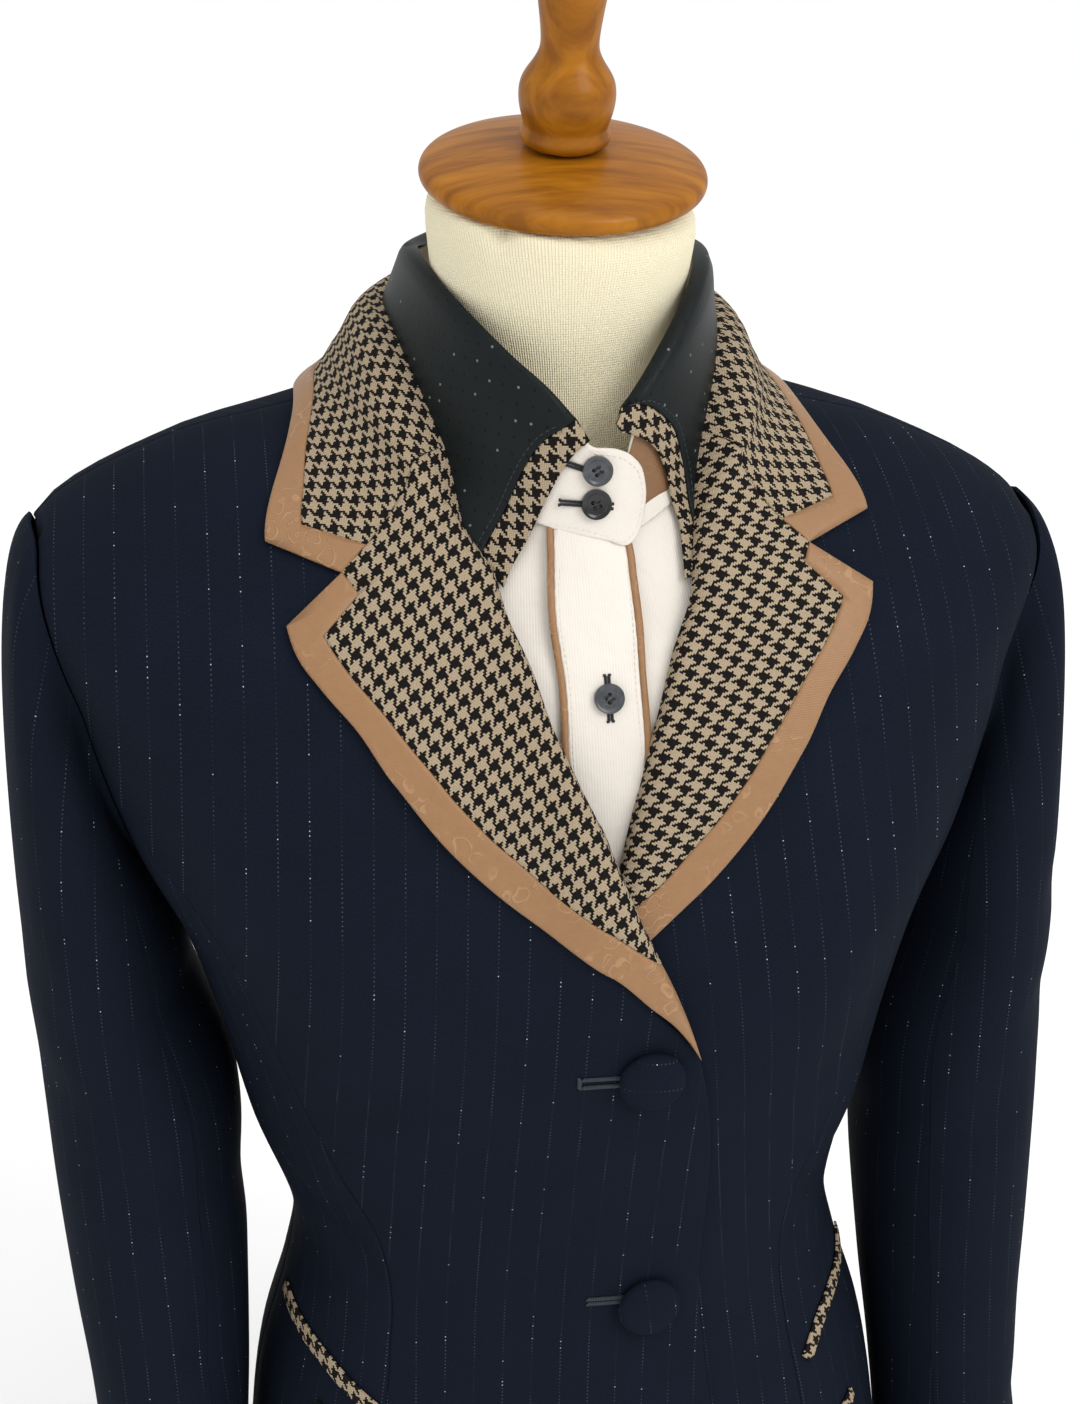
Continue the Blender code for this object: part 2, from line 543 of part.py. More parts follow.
def add_fronts(navy):
    """Fronts and side fronts of the jacket, and its back panels."""
    step = 20.0
    centre_hem = HEM_LEVEL
    for word, side in (("right", -1), ("left", 1)):
        princess = seam(flip(FRONT_PRINCESS), step, side)
        roll_rows = front_line(RIGHT_ROLL if side < 0 else LEFT_ROLL)
        neck_start = (36.0 * side, NECK_LEVEL)
        roll = seam([neck_start] + roll_rows, step * 0.8)
        edge_low = place_on_front(38.0 if side < 0 else -8.0, centre_hem)
        front_edge = seam([roll_rows[-1], place_on_front(38.5 if side < 0 else -8.0, 95),
                           place_on_front(40.0 if side < 0 else -8.0, 20), edge_low], step)
        hem = seam([edge_low, (40.0 * side, HEM_LEVEL)], step)
        upper_armhole = armhole_part(side, "front", FRONT_PRINCESS[-1][0], SHOULDER_LEVEL)
        shoulder = seam([(90.0 * side, SHOULDER_LEVEL), (90.0 * side, 285),
                         (90.0 * side, NECK_LEVEL)], step)
        neckline = seam([(90.0 * side, NECK_LEVEL), (62.0 * side, NECK_LEVEL), neck_start], step)
        edge = outline(roll, front_edge, hem, princess, upper_armhole[::-1], shoulder, neckline)
        panel("jacket_front_" + word, edge, navy,
              overlap_lift if side < 0 else -JACKET_CLOTH, step=step)
        side_hem = seam([(40.0 * side, HEM_LEVEL), (90.0 * side, HEM_LEVEL)], step)
        side_seam = seam([(90.0 * side, HEM_LEVEL), (90.0 * side, -100), (90.0 * side, 0),
                          (90.0 * side, UNDERARM_LEVEL)], step)
        lower_armhole = armhole_part(side, "front", UNDERARM_LEVEL, FRONT_PRINCESS[-1][0])
        edge = outline(side_hem, side_seam, lower_armhole[::-1], princess[::-1])
        panel("jacket_side_front_" + word, edge, navy, -JACKET_CLOTH, step=step)
        back_princess = seam(flip(BACK_PRINCESS), 26.0, side)
        side_back_hem = seam([(90.0 * side, HEM_LEVEL), (148.0 * side, HEM_LEVEL)], 26.0)
        back_low = armhole_part(side, "back", UNDERARM_LEVEL, 207)
        edge = outline(side_back_hem, back_princess, back_low, side_seam[::-1])
        panel("jacket_side_back_" + word, edge, navy, -JACKET_CLOTH, step=24.0)
        back_hem = seam([(148.0 * side, HEM_LEVEL), (180.0 * side, HEM_LEVEL)], 26.0)
        centre_back = seam([(180.0 * side, HEM_LEVEL), (180.0 * side, 0),
                            (180.0 * side, 200), (180.0 * side, NECK_LEVEL)], 26.0)
        back_neck = seam([(180.0 * side, NECK_LEVEL), (135.0 * side, NECK_LEVEL),
                          (90.0 * side, NECK_LEVEL)], step)
        back_high = armhole_part(side, "back", 207, SHOULDER_LEVEL)
        edge = outline(back_hem, centre_back, back_neck, shoulder[::-1], back_high,
                       back_princess[::-1])
        panel("jacket_back_" + word, edge, navy, -JACKET_CLOTH, step=26.0)


def armhole_loop(side, inset=0.0):
    """Places round the armhole, one for each side of the sleeve, from the shoulder tip."""
    front = seam(flip(ARMHOLE_FRONT), 1.0, side, inset)
    back = seam(flip(ARMHOLE_BACK), 1.0, side, inset)
    half = SLEEVE_SIDES // 2
    picked = [front[int(round(at))] for at in np.linspace(0, len(front) - 1, half + 1)]
    picked += [back[int(round(at))] for at in np.linspace(0, len(back) - 1, half + 1)][1:-1]
    return np.array(picked)


def armhole_part(side, face, low, high):
    """The stretch of the armhole between two levels, on the front or the back, going down."""
    loop = armhole_loop(side)
    half = SLEEVE_SIDES // 2
    if face == "front":
        stretch = loop[:half + 1]
    else:
        stretch = np.concatenate([loop[half:], loop[:1]])[::-1]
    table = ARMHOLE_FRONT if face == "front" else ARMHOLE_BACK
    ends = {level: (girth * side, float(level)) for level, girth in table}
    kept = [tuple(row) for row in stretch if low + 6 < row[1] < high - 3]
    return np.array([ends[high]] + kept + [ends[low]])


def sleeve_surface(side):
    """Grid of points over the whole sleeve: rows down the arm, columns round it."""
    loop = armhole_loop(side)
    points = body_point(loop[:, 0], loop[:, 1])
    normal = body_normal(loop[:, 0], loop[:, 1])
    heart = points.mean(axis=0)
    inward = heart - points
    inward[:, 0] = 0
    inward /= np.linalg.norm(inward, axis=1, keepdims=True)
    angles = np.radians(np.arange(SLEEVE_SIDES) * 360.0 / SLEEVE_SIDES)
    proud = 0.7 + 1.0 * np.clip(0.3 - np.cos(angles), 0, 1)
    start = points + inward * SLEEVE_SEAM_GAP + normal * proud[:, None]
    table = np.array(SLEEVE_SECTIONS, float)
    height, across, depth, half_across, half_depth = table[0]
    goal = np.stack([BODY_SHIFT + side * (across + half_across * np.cos(angles)),
                     depth - half_depth * np.sin(angles),
                     np.full(SLEEVE_SIDES, height)], axis=1)
    outwards = np.array([side, 0.0, 0.0])
    fall = start[:, 2] - height
    reach = SLEEVE_HEAD_REACH * (0.95 + 0.55 * np.maximum(np.cos(angles), 0))
    first_pull = start + outwards * reach[:, None] + np.outer(-0.02 * fall, (0, 0, 1))
    second_pull = goal + np.outer(np.maximum(0.62 * fall, 10.0), (0, 0, 1))
    rows = []
    for share in np.linspace(0, 1, SLEEVE_HEAD_STEPS + 1):
        back = 1 - share
        rows.append(back ** 3 * start + 3 * back ** 2 * share * first_pull
                    + 3 * back * share ** 2 * second_pull + share ** 3 * goal)
    heights = np.linspace(table[0, 0], table[-1, 0], SLEEVE_ROWS)[1:]
    for level in heights:
        _, across, depth, half_across, half_depth = smooth(-level, -table[:, 0], table)
        rows.append(np.stack([BODY_SHIFT + side * (across + half_across * np.cos(angles)),
                              depth - half_depth * np.sin(angles),
                              np.full(SLEEVE_SIDES, level)], axis=1))
    return np.array(rows)


def add_sleeves(navy):
    """Each sleeve is cut as an upper and an under sleeve."""
    half = SLEEVE_SIDES // 2
    under = int(round(UNDER_SLEEVE_HALF_ANGLE / 360 * SLEEVE_SIDES))
    for word, side in (("right", -1), ("left", 1)):
        surface = sleeve_surface(side)
        spans = {"jacket_sleeve_upper_": (-(half - under), half - under),
                 "jacket_sleeve_under_": (half - under, half + under)}
        for stem, (first, last) in spans.items():
            columns = [column % SLEEVE_SIDES for column in range(first, last + 1)]
            sheet = surface[:, columns].copy()
            start = sheet[:, 1] - sheet[:, 0]
            end = sheet[:, -2] - sheet[:, -1]
            sheet[:, 0] += SEAM_GAP * start / np.linalg.norm(start, axis=1, keepdims=True)
            sheet[:, -1] += SEAM_GAP * end / np.linalg.norm(end, axis=1, keepdims=True)
            if side > 0:
                sheet = sheet[:, ::-1]
            grid_wall(stem + word, sheet, navy, JACKET_CLOTH)


def add_lapels(check, brocade):
    """Check lapels with a brocade band along the notch and the outer edge."""
    step = 12.0
    gorge = seam(GORGE, step)
    for word, side in (("right", -1), ("left", 1)):
        roll_rows = front_line(RIGHT_ROLL if side < 0 else LEFT_ROLL)
        top = GORGE[-1]
        roll = seam([(top[0] * side, top[1]), (36.0 * side, NECK_LEVEL - 0.5)] + roll_rows, step)
        end_rows = list(LAPEL_OUTER) + (list(RIGHT_LAPEL_END) if side < 0 else [(3, 160)])
        outer = seam(front_line([LAPEL_TIP] + end_rows, side)
                     + ([roll_rows[-1]] if side < 0 else []), step)
        inner_rows = list(BAND_INNER) + (list(RIGHT_BAND_END) if side < 0 else [(-1, 173)])
        inner = seam(front_line([BAND_CORNER] + inner_rows, side), step)
        notch = (GORGE[0][0] * side, GORGE[0][1])
        tip = place_on_front(LAPEL_TIP[0] * side, LAPEL_TIP[1])
        band_top = place_on_front(BAND_TOP[0] * side, BAND_TOP[1])
        corner = place_on_front(BAND_CORNER[0] * side, BAND_CORNER[1])
        gorge_side = gorge if side > 0 else mirror(gorge)
        lift = right_lapel_lift if side < 0 else left_lapel_lift
        cut = int(np.argmin(np.linalg.norm((roll - inner[-1]) * (2.2, 1), axis=1)))
        upper_roll = np.concatenate([roll[:cut], inner[-1:]])
        edge = outline(gorge_side, upper_roll, inner[::-1], [corner, band_top], [notch])
        panel("lapel_" + word, edge, check, lift, step=step)
        lower_roll = np.concatenate([inner[-1:], roll[cut + 1:]]) if side < 0 else inner[-1:]
        edge = outline([notch], [tip], outer, lower_roll[::-1], inner[::-1], [corner, band_top])
        panel("lapel_band_" + word, edge, brocade, lift, step=step)


def whole_round(rows, step):
    """A half line from the front to the centre back, carried on to the other side."""
    left = seam(rows, step)
    right = np.stack([360 - left[:, 0], left[:, 1]], axis=1)[::-1]
    return np.concatenate([left, right[1:]])


def add_collar(check, brocade):
    """Collar fall, its band and the stand that it folds over."""
    step = 13.0
    notch = np.array(GORGE[0])
    band_inner = whole_round(COLLAR_BAND_INNER, step)
    outer = whole_round(COLLAR_OUTER, step)
    roll = whole_round(COLLAR_ROLL, step)
    gorge = seam(GORGE[1:], step)
    far_gorge = np.stack([360 - gorge[:, 0], gorge[:, 1]], axis=1)
    edge = outline(gorge, roll, far_gorge[::-1], band_inner[::-1])
    panel("collar_fall", edge, check, collar_lift, step=step)
    far_notch = np.array([360 - notch[0], notch[1]])
    edge = outline([notch], [GORGE[1]], band_inner, [(360 - GORGE[1][0], GORGE[1][1])],
                   [far_notch], outer[::-1])
    panel("collar_band", edge, brocade, collar_lift, step=step)
    seam_line = whole_round(((47.0, NECK_LEVEL + 0.5), (90.0, NECK_LEVEL + 1.5),
                             (180.0, NECK_LEVEL + 1.2)), 18.0)
    top = whole_round(((50.0, 324.0), (70.0, 332.0), (90.0, 336.0), (130.0, 339.0),
                       (180.0, 339.0)), 18.0)
    edge = outline(seam_line, top[::-1])
    panel("collar_stand", edge, check, SEAM_GAP - JACKET_CLOTH, step=16.0)


def add_trims(check):
    """Check strips along the slanted pockets."""
    for word, side in (("right", -1), ("left", 1)):
        upper_trim = RIGHT_UPPER_TRIM if side < 0 else LEFT_UPPER_TRIM
        lower_trim = RIGHT_LOWER_TRIM if side < 0 else LEFT_LOWER_TRIM
        for stem, rows in (("pocket_trim_upper_", upper_trim), ("pocket_trim_lower_", lower_trim)):
            line = seam(rows, 11.0, side)
            points = body_point(line[:, 0], line[:, 1])
            along = np.gradient(points, axis=0)
            along /= np.linalg.norm(along, axis=1, keepdims=True)
            down = np.cross(body_normal(line[:, 0], line[:, 1]), along) * side
            down *= -np.sign(down[:, 2:3])
            lower = []
            for place, shift in zip(line, down * TRIM_WIDTH):
                here = body_point(*place)
                by_girth = body_point(place[0] + 1, place[1]) - here
                by_level = body_point(place[0], place[1] + 1) - here
                base = np.stack([by_girth, by_level], axis=1)
                move = np.linalg.lstsq(base, shift, rcond=None)[0]
                lower.append((place[0] + move[0], place[1] + move[1]))
            panel(stem + word, outline(line, np.array(lower)[::-1]), check, 0.5, cloth=1.4,
                  step=12.0)


def shirt_seam(rows, step):
    return seam(rows, step, 1, SHIRT_INSET)


def shirt_lift(girth, level):
    """The shirt lies closer to the body where its collar and the jacket cover it."""
    return -1.7 * ease((level - 275) / 22)


def add_shirt(ivory):
    """Shirt fronts and back."""
    step = 32.0
    low = SHIRT_HEM_LEVEL
    centre = [place_on_front(SHIRT_CENTRE, up) for up in (low, 0, 100, 200, 285)]
    middle = shirt_seam([SHIRT_NECK_CENTRE] + centre[::-1], step)
    for word, side in (("right", -1), ("left", 1)):
        hem = shirt_seam([centre[0], (90.0 * side, low)], step)
        side_seam = shirt_seam([(90.0 * side, low), (90.0 * side, 0), (90.0 * side, 158)], step)
        armhole = seam(flip(SHIRT_ARMHOLE_FRONT), step, side, SHIRT_INSET)[::-1]
        shoulder = shirt_seam([(90.0 * side, 262), (90.0 * side, 285),
                               (90.0 * side, NECK_LEVEL)], 20)
        if side < 0:
            neck = [(-girth, level) for girth, level in SHIRT_NECK_RIGHT] + [SHIRT_NECK_CENTRE]
        else:
            neck = list(SHIRT_NECK_LEFT[::-1]) + [SHIRT_NECK_CENTRE]
        edge = outline(middle, hem, side_seam, armhole, shoulder, shirt_seam(neck, 16))
        panel("shirt_front_" + word, edge, ivory, shirt_lift, SHIRT_CLOTH, step, SHIRT_INSET)
    half = np.concatenate([shirt_seam([(90.0, low), (90.0, 0), (90.0, 158)], step),
                           seam(flip(SHIRT_ARMHOLE_BACK), step, 1, SHIRT_INSET),
                           shirt_seam([(90.0, 262), (90.0, 285),
                                       (90.0, NECK_LEVEL)], 20),
                           shirt_seam([(90.0, NECK_LEVEL), (135.0, NECK_LEVEL),
                                       (180.0, NECK_LEVEL)], 20)])
    other = np.stack([360 - half[:, 0], half[:, 1]], axis=1)[::-1]
    hem = shirt_seam([(270.0, low), (180.0, low), (90.0, low)], step)
    panel("shirt_back", outline(half, other, hem), ivory, shirt_lift, SHIRT_CLOTH, 38.0, SHIRT_INSET)


def add_placket(ivory, brocade):
    """Placket over the shirt's centre, with piping along both of its edges."""
    levels = (SHIRT_HEM_LEVEL, -60.0, 40.0, 120.0, 180.0, 240.0, 280.0)
    tops = {PLACKET_EDGES[0]: (-12.0, 322.0), PLACKET_EDGES[1]: (13.2, 314.8)}
    lines = {}
    for across, top in tops.items():
        inner = [place_on_front(across, level) for level in levels]
        away = math.copysign(PIPING_WIDTH, across)
        outer = [place_on_front(across + away, level) for level in levels]
        outer_top = (top[0] + away * 0.9, top[1] - 0.4)
        lines[across] = (shirt_seam(inner + [top], 24), shirt_seam(outer + [outer_top], 24))
    right, left = lines[PLACKET_EDGES[0]], lines[PLACKET_EDGES[1]]
    neck = shirt_seam([tops[PLACKET_EDGES[0]], (-3.0, 321.5), (6.0, 318.5),
                       tops[PLACKET_EDGES[1]]], 12)
    panel("shirt_placket", outline(right[0], neck, left[0][::-1]), ivory, SHIRT_CLOTH + PLACKET_AIR,
          SHIRT_CLOTH, 30.0, SHIRT_INSET)
    for word, (inner, outer) in (("right", right), ("left", left)):
        panel("placket_piping_" + word, outline(inner, outer[::-1]), brocade,
              SHIRT_CLOTH + PLACKET_AIR, 1.8, 24.0, SHIRT_INSET)


def stand_lift(girth, level):
    """The stand's right end laps over its left end at the front."""
    return STAND_LAP * ease((girth + 25) / 30)


def leaf_lift(girth, level):
    """The leaf rolls in at its top and is drawn in where the jacket covers it."""
    return -0.05 - 0.65 * ease((326 - level) / 12) - 0.9 * ease((level - 359) / 6)


def add_shirt_collar(ivory, satin, check):
    """Stand, the leaf that falls over it, and the check strips along the leaf's front edges."""
    step = 12.0
    end = shirt_seam(STAND_END, 7)
    top = shirt_seam([STAND_END[-1], (-45.0, STAND_TOP_LEVEL), (-180.0, STAND_TOP_LEVEL),
                      (-315.0, STAND_TOP_LEVEL), (STAND_UNDERLAP[0], 355.0)], 15)
    under_end = shirt_seam([(STAND_UNDERLAP[0], 355.0), (STAND_UNDERLAP[1], 338.0),
                            (STAND_UNDERLAP[0], 318.5)], 12)
    seam_line = shirt_seam([(STAND_UNDERLAP[0], 318.5), (-315.0, 317.5), (-180.0, 317.5),
                            (-45.0, 318.5), STAND_END[0]], 15)
    panel("shirt_collar_stand", outline(end, top, under_end, seam_line), ivory, stand_lift,
          SHIRT_CLOTH, 20.0, SHIRT_INSET)

    def collar_seam(rows, length=step):
        return seam(rows, length, 1, LEAF_INSET)

    right_front = collar_seam(LEAF_FRONT_RIGHT)
    left_front = collar_seam(LEAF_FRONT_LEFT)
    under_right = collar_seam(LEAF_UNDER_RIGHT, 14)
    under_left = collar_seam(LEAF_UNDER_LEFT, 14)[::-1]
    under_left[:, 0] -= 360
    roll = collar_seam([LEAF_FRONT_RIGHT[0], (-14.0, LEAF_ROLL_LEVEL - 1),
                        (-30.0, LEAF_ROLL_LEVEL), (-180.0, LEAF_ROLL_LEVEL),
                        (-330.0, LEAF_ROLL_LEVEL), (-350.0, 361.3)], 12)
    left_turned = left_front[::-1] - (360, 0)
    edge = outline(right_front, under_right, under_left, left_turned, roll[::-1])
    panel("shirt_collar_leaf", edge, satin, leaf_lift, SHIRT_CLOTH, 16.0, LEAF_INSET)
    for word, leaf, free in (("right", right_front, INLAY_RIGHT), ("left", left_front, INLAY_LEFT)):
        edge = outline(leaf, collar_seam(free)[::-1])
        panel("collar_inlay_" + word, edge, check, inlay_lift, 1.0, step, LEAF_INSET)


def inlay_lift(girth, level):
    return leaf_lift(girth, level) - 0.5


def button(name, place, lift, inset, profile, sides, finish):
    """Round button that lies flat on the cloth at a place."""
    centre = body_point(*place, inset)
    axis = body_normal(place[0], place[1], inset)
    turned(name, profile, centre + axis * lift, axis, sides, finish)


def add_buttons(grey, black, navy):
    """Three shirt buttons and the two cloth-covered jacket buttons."""
    over_stand = STAND_LAP + SHIRT_CLOTH + 0.1
    for name, place, colour in zip(("stand_button_top", "stand_button_low"), STAND_BUTTONS,
                                   (grey, black)):
        button(name, place, over_stand, SHIRT_INSET, SHIRT_BUTTON, 16, colour)
    button("placket_button", PLACKET_BUTTON, 2 * SHIRT_CLOTH + PLACKET_AIR + SEAM_GAP, SHIRT_INSET,
           SHIRT_BUTTON, 16, grey)
    for name, (across, up, air) in zip(("jacket_button_top", "jacket_button_low"),
                                       JACKET_BUTTONS):
        place = place_on_front(across, up)
        lift = float(overlap_lift(*place)) + JACKET_CLOTH + air
        button(name, place, lift, 0.0, JACKET_BUTTON, 24, navy)


def add_form(jersey, wood):
    """Torso with its neck, the turned cap and finial, and the foot that it stands on."""
    girths = np.linspace(0, 360, FORM_SIDES, endpoint=False)
    bottom = -WAIST_HEIGHT + FOOT_HEIGHT + SEAM_GAP
    rings = [[np.array([0.0, 0.0, bottom])]]
    for level in FORM_LEVELS:
        inset = FORM_INSET + FORM_SHOULDER_DROP * ease((level - 200) / 35)
        rings.append(list(body_point(girths, level, inset)))
    for point in rings[1]:
        point[2] = bottom
    axis = np.array([math.sin(CAP_ROLL), -math.sin(NECK_TILT), math.cos(NECK_TILT)])
    axis /= np.linalg.norm(axis)
    side_axis = np.cross((0.0, 1.0, 0.0), axis)
    side_axis /= np.linalg.norm(side_axis)
    back_axis = np.cross(axis, side_axis)
    top_centre = np.array(CAP_CENTRE) - axis * 1.8
    turn = np.radians(girths)
    for share, radius in NECK_ROUNDS:
        heart = (1 - share) * np.array(NECK_BASE_CENTRE) + share * top_centre
        rings.append(list(heart + radius * (np.sin(turn)[:, None] * side_axis
                                            - np.cos(turn)[:, None] * back_axis)))
    rings.append([top_centre])
    ring_body("form_torso", rings, jersey)
    turned("form_neck_cap", CAP_PROFILE, CAP_CENTRE, axis, TURNED_SIDES, wood)
    turned("form_finial", FINIAL_PROFILE, CAP_CENTRE, axis, FINIAL_SIDES, wood)
    turned("form_foot", FOOT_PROFILE, (BODY_SHIFT, 0.0, -WAIST_HEIGHT), (0, 0, 1), TURNED_SIDES,
           wood, squash=0.8)


def main():
    for item in list(bpy.data.objects):
        bpy.data.objects.remove(item, do_unlink=True)
    navy = finish("navy_pinstripe_wool", 0.010, 0.013, 0.020, 0.8)
    check = finish("houndstooth", 0.26, 0.18, 0.11, 0.8)
    brocade = finish("tan_brocade", 0.40, 0.22, 0.13, 0.5)
    ivory = finish("ivory_satin", 0.80, 0.72, 0.60, 0.4)
    satin = finish("black_satin", 0.012, 0.014, 0.016, 0.4)
    jersey = finish("cream_jersey", 0.84, 0.74, 0.52, 0.85)
    wood = finish("honey_wood", 0.36, 0.14, 0.03, 0.3)
    shell = finish("grey_shell", 0.20, 0.19, 0.18, 0.35)
    add_form(jersey, wood)
    add_fronts(navy)
    add_sleeves(navy)
    add_lapels(check, brocade)
    add_collar(check, brocade)
    add_trims(check)
    add_shirt(ivory)
    add_placket(ivory, brocade)
    add_shirt_collar(ivory, satin, check)
    add_buttons(shell, satin, navy)


main()
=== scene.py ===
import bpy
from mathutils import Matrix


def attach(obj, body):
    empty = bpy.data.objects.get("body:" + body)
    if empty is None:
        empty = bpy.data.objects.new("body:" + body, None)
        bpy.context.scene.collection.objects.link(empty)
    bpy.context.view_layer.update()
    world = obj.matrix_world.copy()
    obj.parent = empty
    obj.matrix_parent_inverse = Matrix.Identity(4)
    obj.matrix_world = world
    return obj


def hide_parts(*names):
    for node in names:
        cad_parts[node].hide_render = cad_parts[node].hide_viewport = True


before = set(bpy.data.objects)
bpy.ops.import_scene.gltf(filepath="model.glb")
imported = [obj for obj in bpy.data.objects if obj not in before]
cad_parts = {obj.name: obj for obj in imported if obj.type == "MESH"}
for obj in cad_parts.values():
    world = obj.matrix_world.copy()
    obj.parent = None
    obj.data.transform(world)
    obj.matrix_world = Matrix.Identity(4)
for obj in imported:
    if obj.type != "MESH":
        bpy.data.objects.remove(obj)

"""Looks of a showmanship suit jacket and its shirt on a limbless tabletop dress form.

Sizes are in millimetres and are turned to metres when a mesh is made. The front faces -Y and
the wearer's left is +X. A place on the cloth is given by its girth, the angle round the body
from the centre front, and its level, the height that it has at the centre front above the
waist.
"""
import math

import bmesh
import bpy
import numpy as np
from bpy.props import FloatProperty, FloatVectorProperty, PointerProperty
from mathutils import Matrix, Vector
from mathutils.geometry import delaunay_2d_cdt

bl_info = {
    "name": "Showmanship suit",
    "version": (1, 0, 0),
    "blender": (4, 5, 0),
    "location": "View3D > Sidebar > Suit",
    "description": "Dresses the packed suit, shirt and dress form in cloth, wood and thread",
    "category": "Object",
}

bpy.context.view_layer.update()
MM = 0.001

# Driving dimensions
WAIST_HEIGHT = 330.0
SIDE_SHIFT = 2.5
FORWARD_SHIFT = 9.28
JACKET_CLOTH = 2.0
SHIRT_CLOTH = 1.2
FACING_CLOTH = 0.25
SEAM_GAP = 0.3
SHIRT_INSET = 9.0
LEAF_INSET = 5.0
BODY_SHIFT = -2.5
NECK_LEAN = 5.0
SHOULDER_TILT = 0.043
SLEEVE_DROP = 272.0
HEM_LEVEL = -215.0
SHIRT_HEM_LEVEL = -165.0
UNDERARM_LEVEL = 163.0
SHOULDER_LEVEL = 255.0
NECK_LEVEL = 315.0
SHIRT_CENTRE = 3.5
SIDE_GIRTH = 90.0
SIDE_BACK_GIRTH = 148.0
BACK_GIRTH = 180.0
# Front edges below the roll, seen from the front: across and up; -1 is the wearer's right
FRONT_EDGE = {-1: ((38.5, 95), (40.0, 20), (38.0, HEM_LEVEL)),
              1: ((-8.0, 95), (-8.0, 20), (-8.0, HEM_LEVEL))}

# Girth sections of the jacket's outer face, from the hem to the collar's roll. "front", "side"
# and "back" are heights above the waist, "top" says how far the cloth there faces upwards,
# "square" is the section's corner power and "rise" shapes the way from front height to side.
# The columns are level, front, side, back, half width, depth at the front, at the side and at
# the back, square, rise and top.
SECTIONS = (
    (-310, -310, -310, -310, 152, -128, 0, 126, 2.15, 2.0, 0.0),
    (-222, -222, -222, -222, 151, -128, 0, 126, 2.15, 2.0, 0.0),
    (-150, -150, -150, -150, 147, -123, -2, 120, 2.15, 2.0, 0.0),
    (-80, -80, -80, -80, 137, -115, -6, 104, 2.15, 2.0, 0.0),
    (-40, -40, -40, -40, 125, -111, -9, 93, 2.10, 2.0, 0.0),
    (-10, -10, -10, -10, 119, -110, -11, 86, 2.10, 2.0, 0.0),
    (50, 50, 50, 52, 135, -119, -8, 92, 2.10, 2.0, 0.0),
    (100, 100, 100, 104, 146, -130, -5, 100, 2.15, 2.0, 0.0),
    (140, 140, 142, 146, 158, -134, -2, 106, 2.25, 2.0, 0.0),
    (175, 175, 178, 184, 174, -132, 0, 110, 2.35, 2.0, 0.0),
    (215, 213, 235, 226, 191, -127, 3, 112, 2.35, 2.0, 0.15),
    (255, 250, 300, 276, 202, -119, 7, 106, 2.20, 2.0, 0.7),
    (285, 282, 331, 326, 149, -109, 9, 88, 2.10, 2.0, 1.0),
    (315, 312, 352, 372, 78, -98, 12, 62, 2.00, 2.0, 0.5),
    (340, 335, 386, 402, 68, -97, 6, 62, 2.00, 1.5, 0.1),
    (365, 359, 407, 418, 63, -97, -6, 47, 2.00, 1.1, 0.0),
)
BUST = {"level": 146, "girth": 36, "height": 52, "spread": 17, "fullness": 13}

# Seams that run up the body: level against girth
FRONT_PRINCESS = ((HEM_LEVEL, 40.0), (-150, 40.0), (-60, 41.0), (-12, 43.5), (26, 44.0),
                  (56, 48.5), (95, 53.0), (122, 55.0), (153, 56.5), (172, 60.5), (186, 67.5),
                  (200, 77.5))
BACK_PRINCESS = ((HEM_LEVEL, 148.0), (-120, 148.0), (-12, 150.0), (60, 146.0), (120, 140.0),
                 (170, 130.0), (207, 112.0))

# Armhole from the shoulder tip down the front to the underarm, and up the back
ARMHOLE_FRONT = ((SHOULDER_LEVEL, 90.0), (250, 76.0), (238, 73.5), (226, 74.5), (213, 76.5),
                 (200, 77.5), (180, 81.5), (UNDERARM_LEVEL, 90.0))
ARMHOLE_BACK = ((UNDERARM_LEVEL, 90.0), (171, 101.0), (188, 109.0), (207, 112.0), (230, 110.0),
                (248, 102.0), (SHOULDER_LEVEL, 90.0))

# Lapels, seen from the front: across and up
RIGHT_ROLL = ((-33, 301), (-24, 274), (-16, 248), (-7, 226), (5, 196), (14, 172), (20, 158),
              (25, 146), (30, 132), (34, 118))
LEFT_ROLL = ((41, 301), (30, 274), (21, 248), (14, 226), (5, 196), (-2, 172))
LAPEL_TIP = (110, 288)
LAPEL_OUTER = ((107, 278), (99, 267), (88, 254), (76, 235), (62, 215), (51, 202), (38, 189),
               (25, 178), (12, 167))
RIGHT_LAPEL_END = ((-2, 157), (-13, 146), (-22, 137), (-29, 127))
BAND_TOP = (83, 298)
BAND_CORNER = (97, 285)
BAND_INNER = ((90, 274), (77, 258), (65, 242), (53, 226), (43, 214), (33, 204), (20, 191),
              (8, 181))
RIGHT_BAND_END = ((-7, 170), (-18.5, 161))

# Gorge seam and collar: girth and level
GORGE = ((37.7, 289.0), (39.8, 296.5), (43.0, 305.0), (45.6, 313.0), (46.5, 324.0))
COLLAR_ROLL = ((46.5, 324.0), (56.0, 329.0), (70.0, 334.0), (90.0, 338.0), (130.0, 341.0),
               (180.0, 341.0))
COLLAR_OUTER = ((50.1, 286.0), (57.0, 292.0), (64.0, 297.0), (77.0, 303.0), (96.0, 305.5),
                (135.0, 304.0), (180.0, 303.0))
COLLAR_BAND_INNER = ((49.6, 292.5), (57.0, 297.5), (66.0, 302.0), (78.0, 307.0), (97.0, 310.0),
                     (135.0, 310.5), (180.0, 310.5))
COLLAR_STAND_OFF = ((286, 1.3), (300, 1.6), (308, 6.0), (316, 10.5), (326, 9.5), (335, 5.0),
                    (341, 0.8))

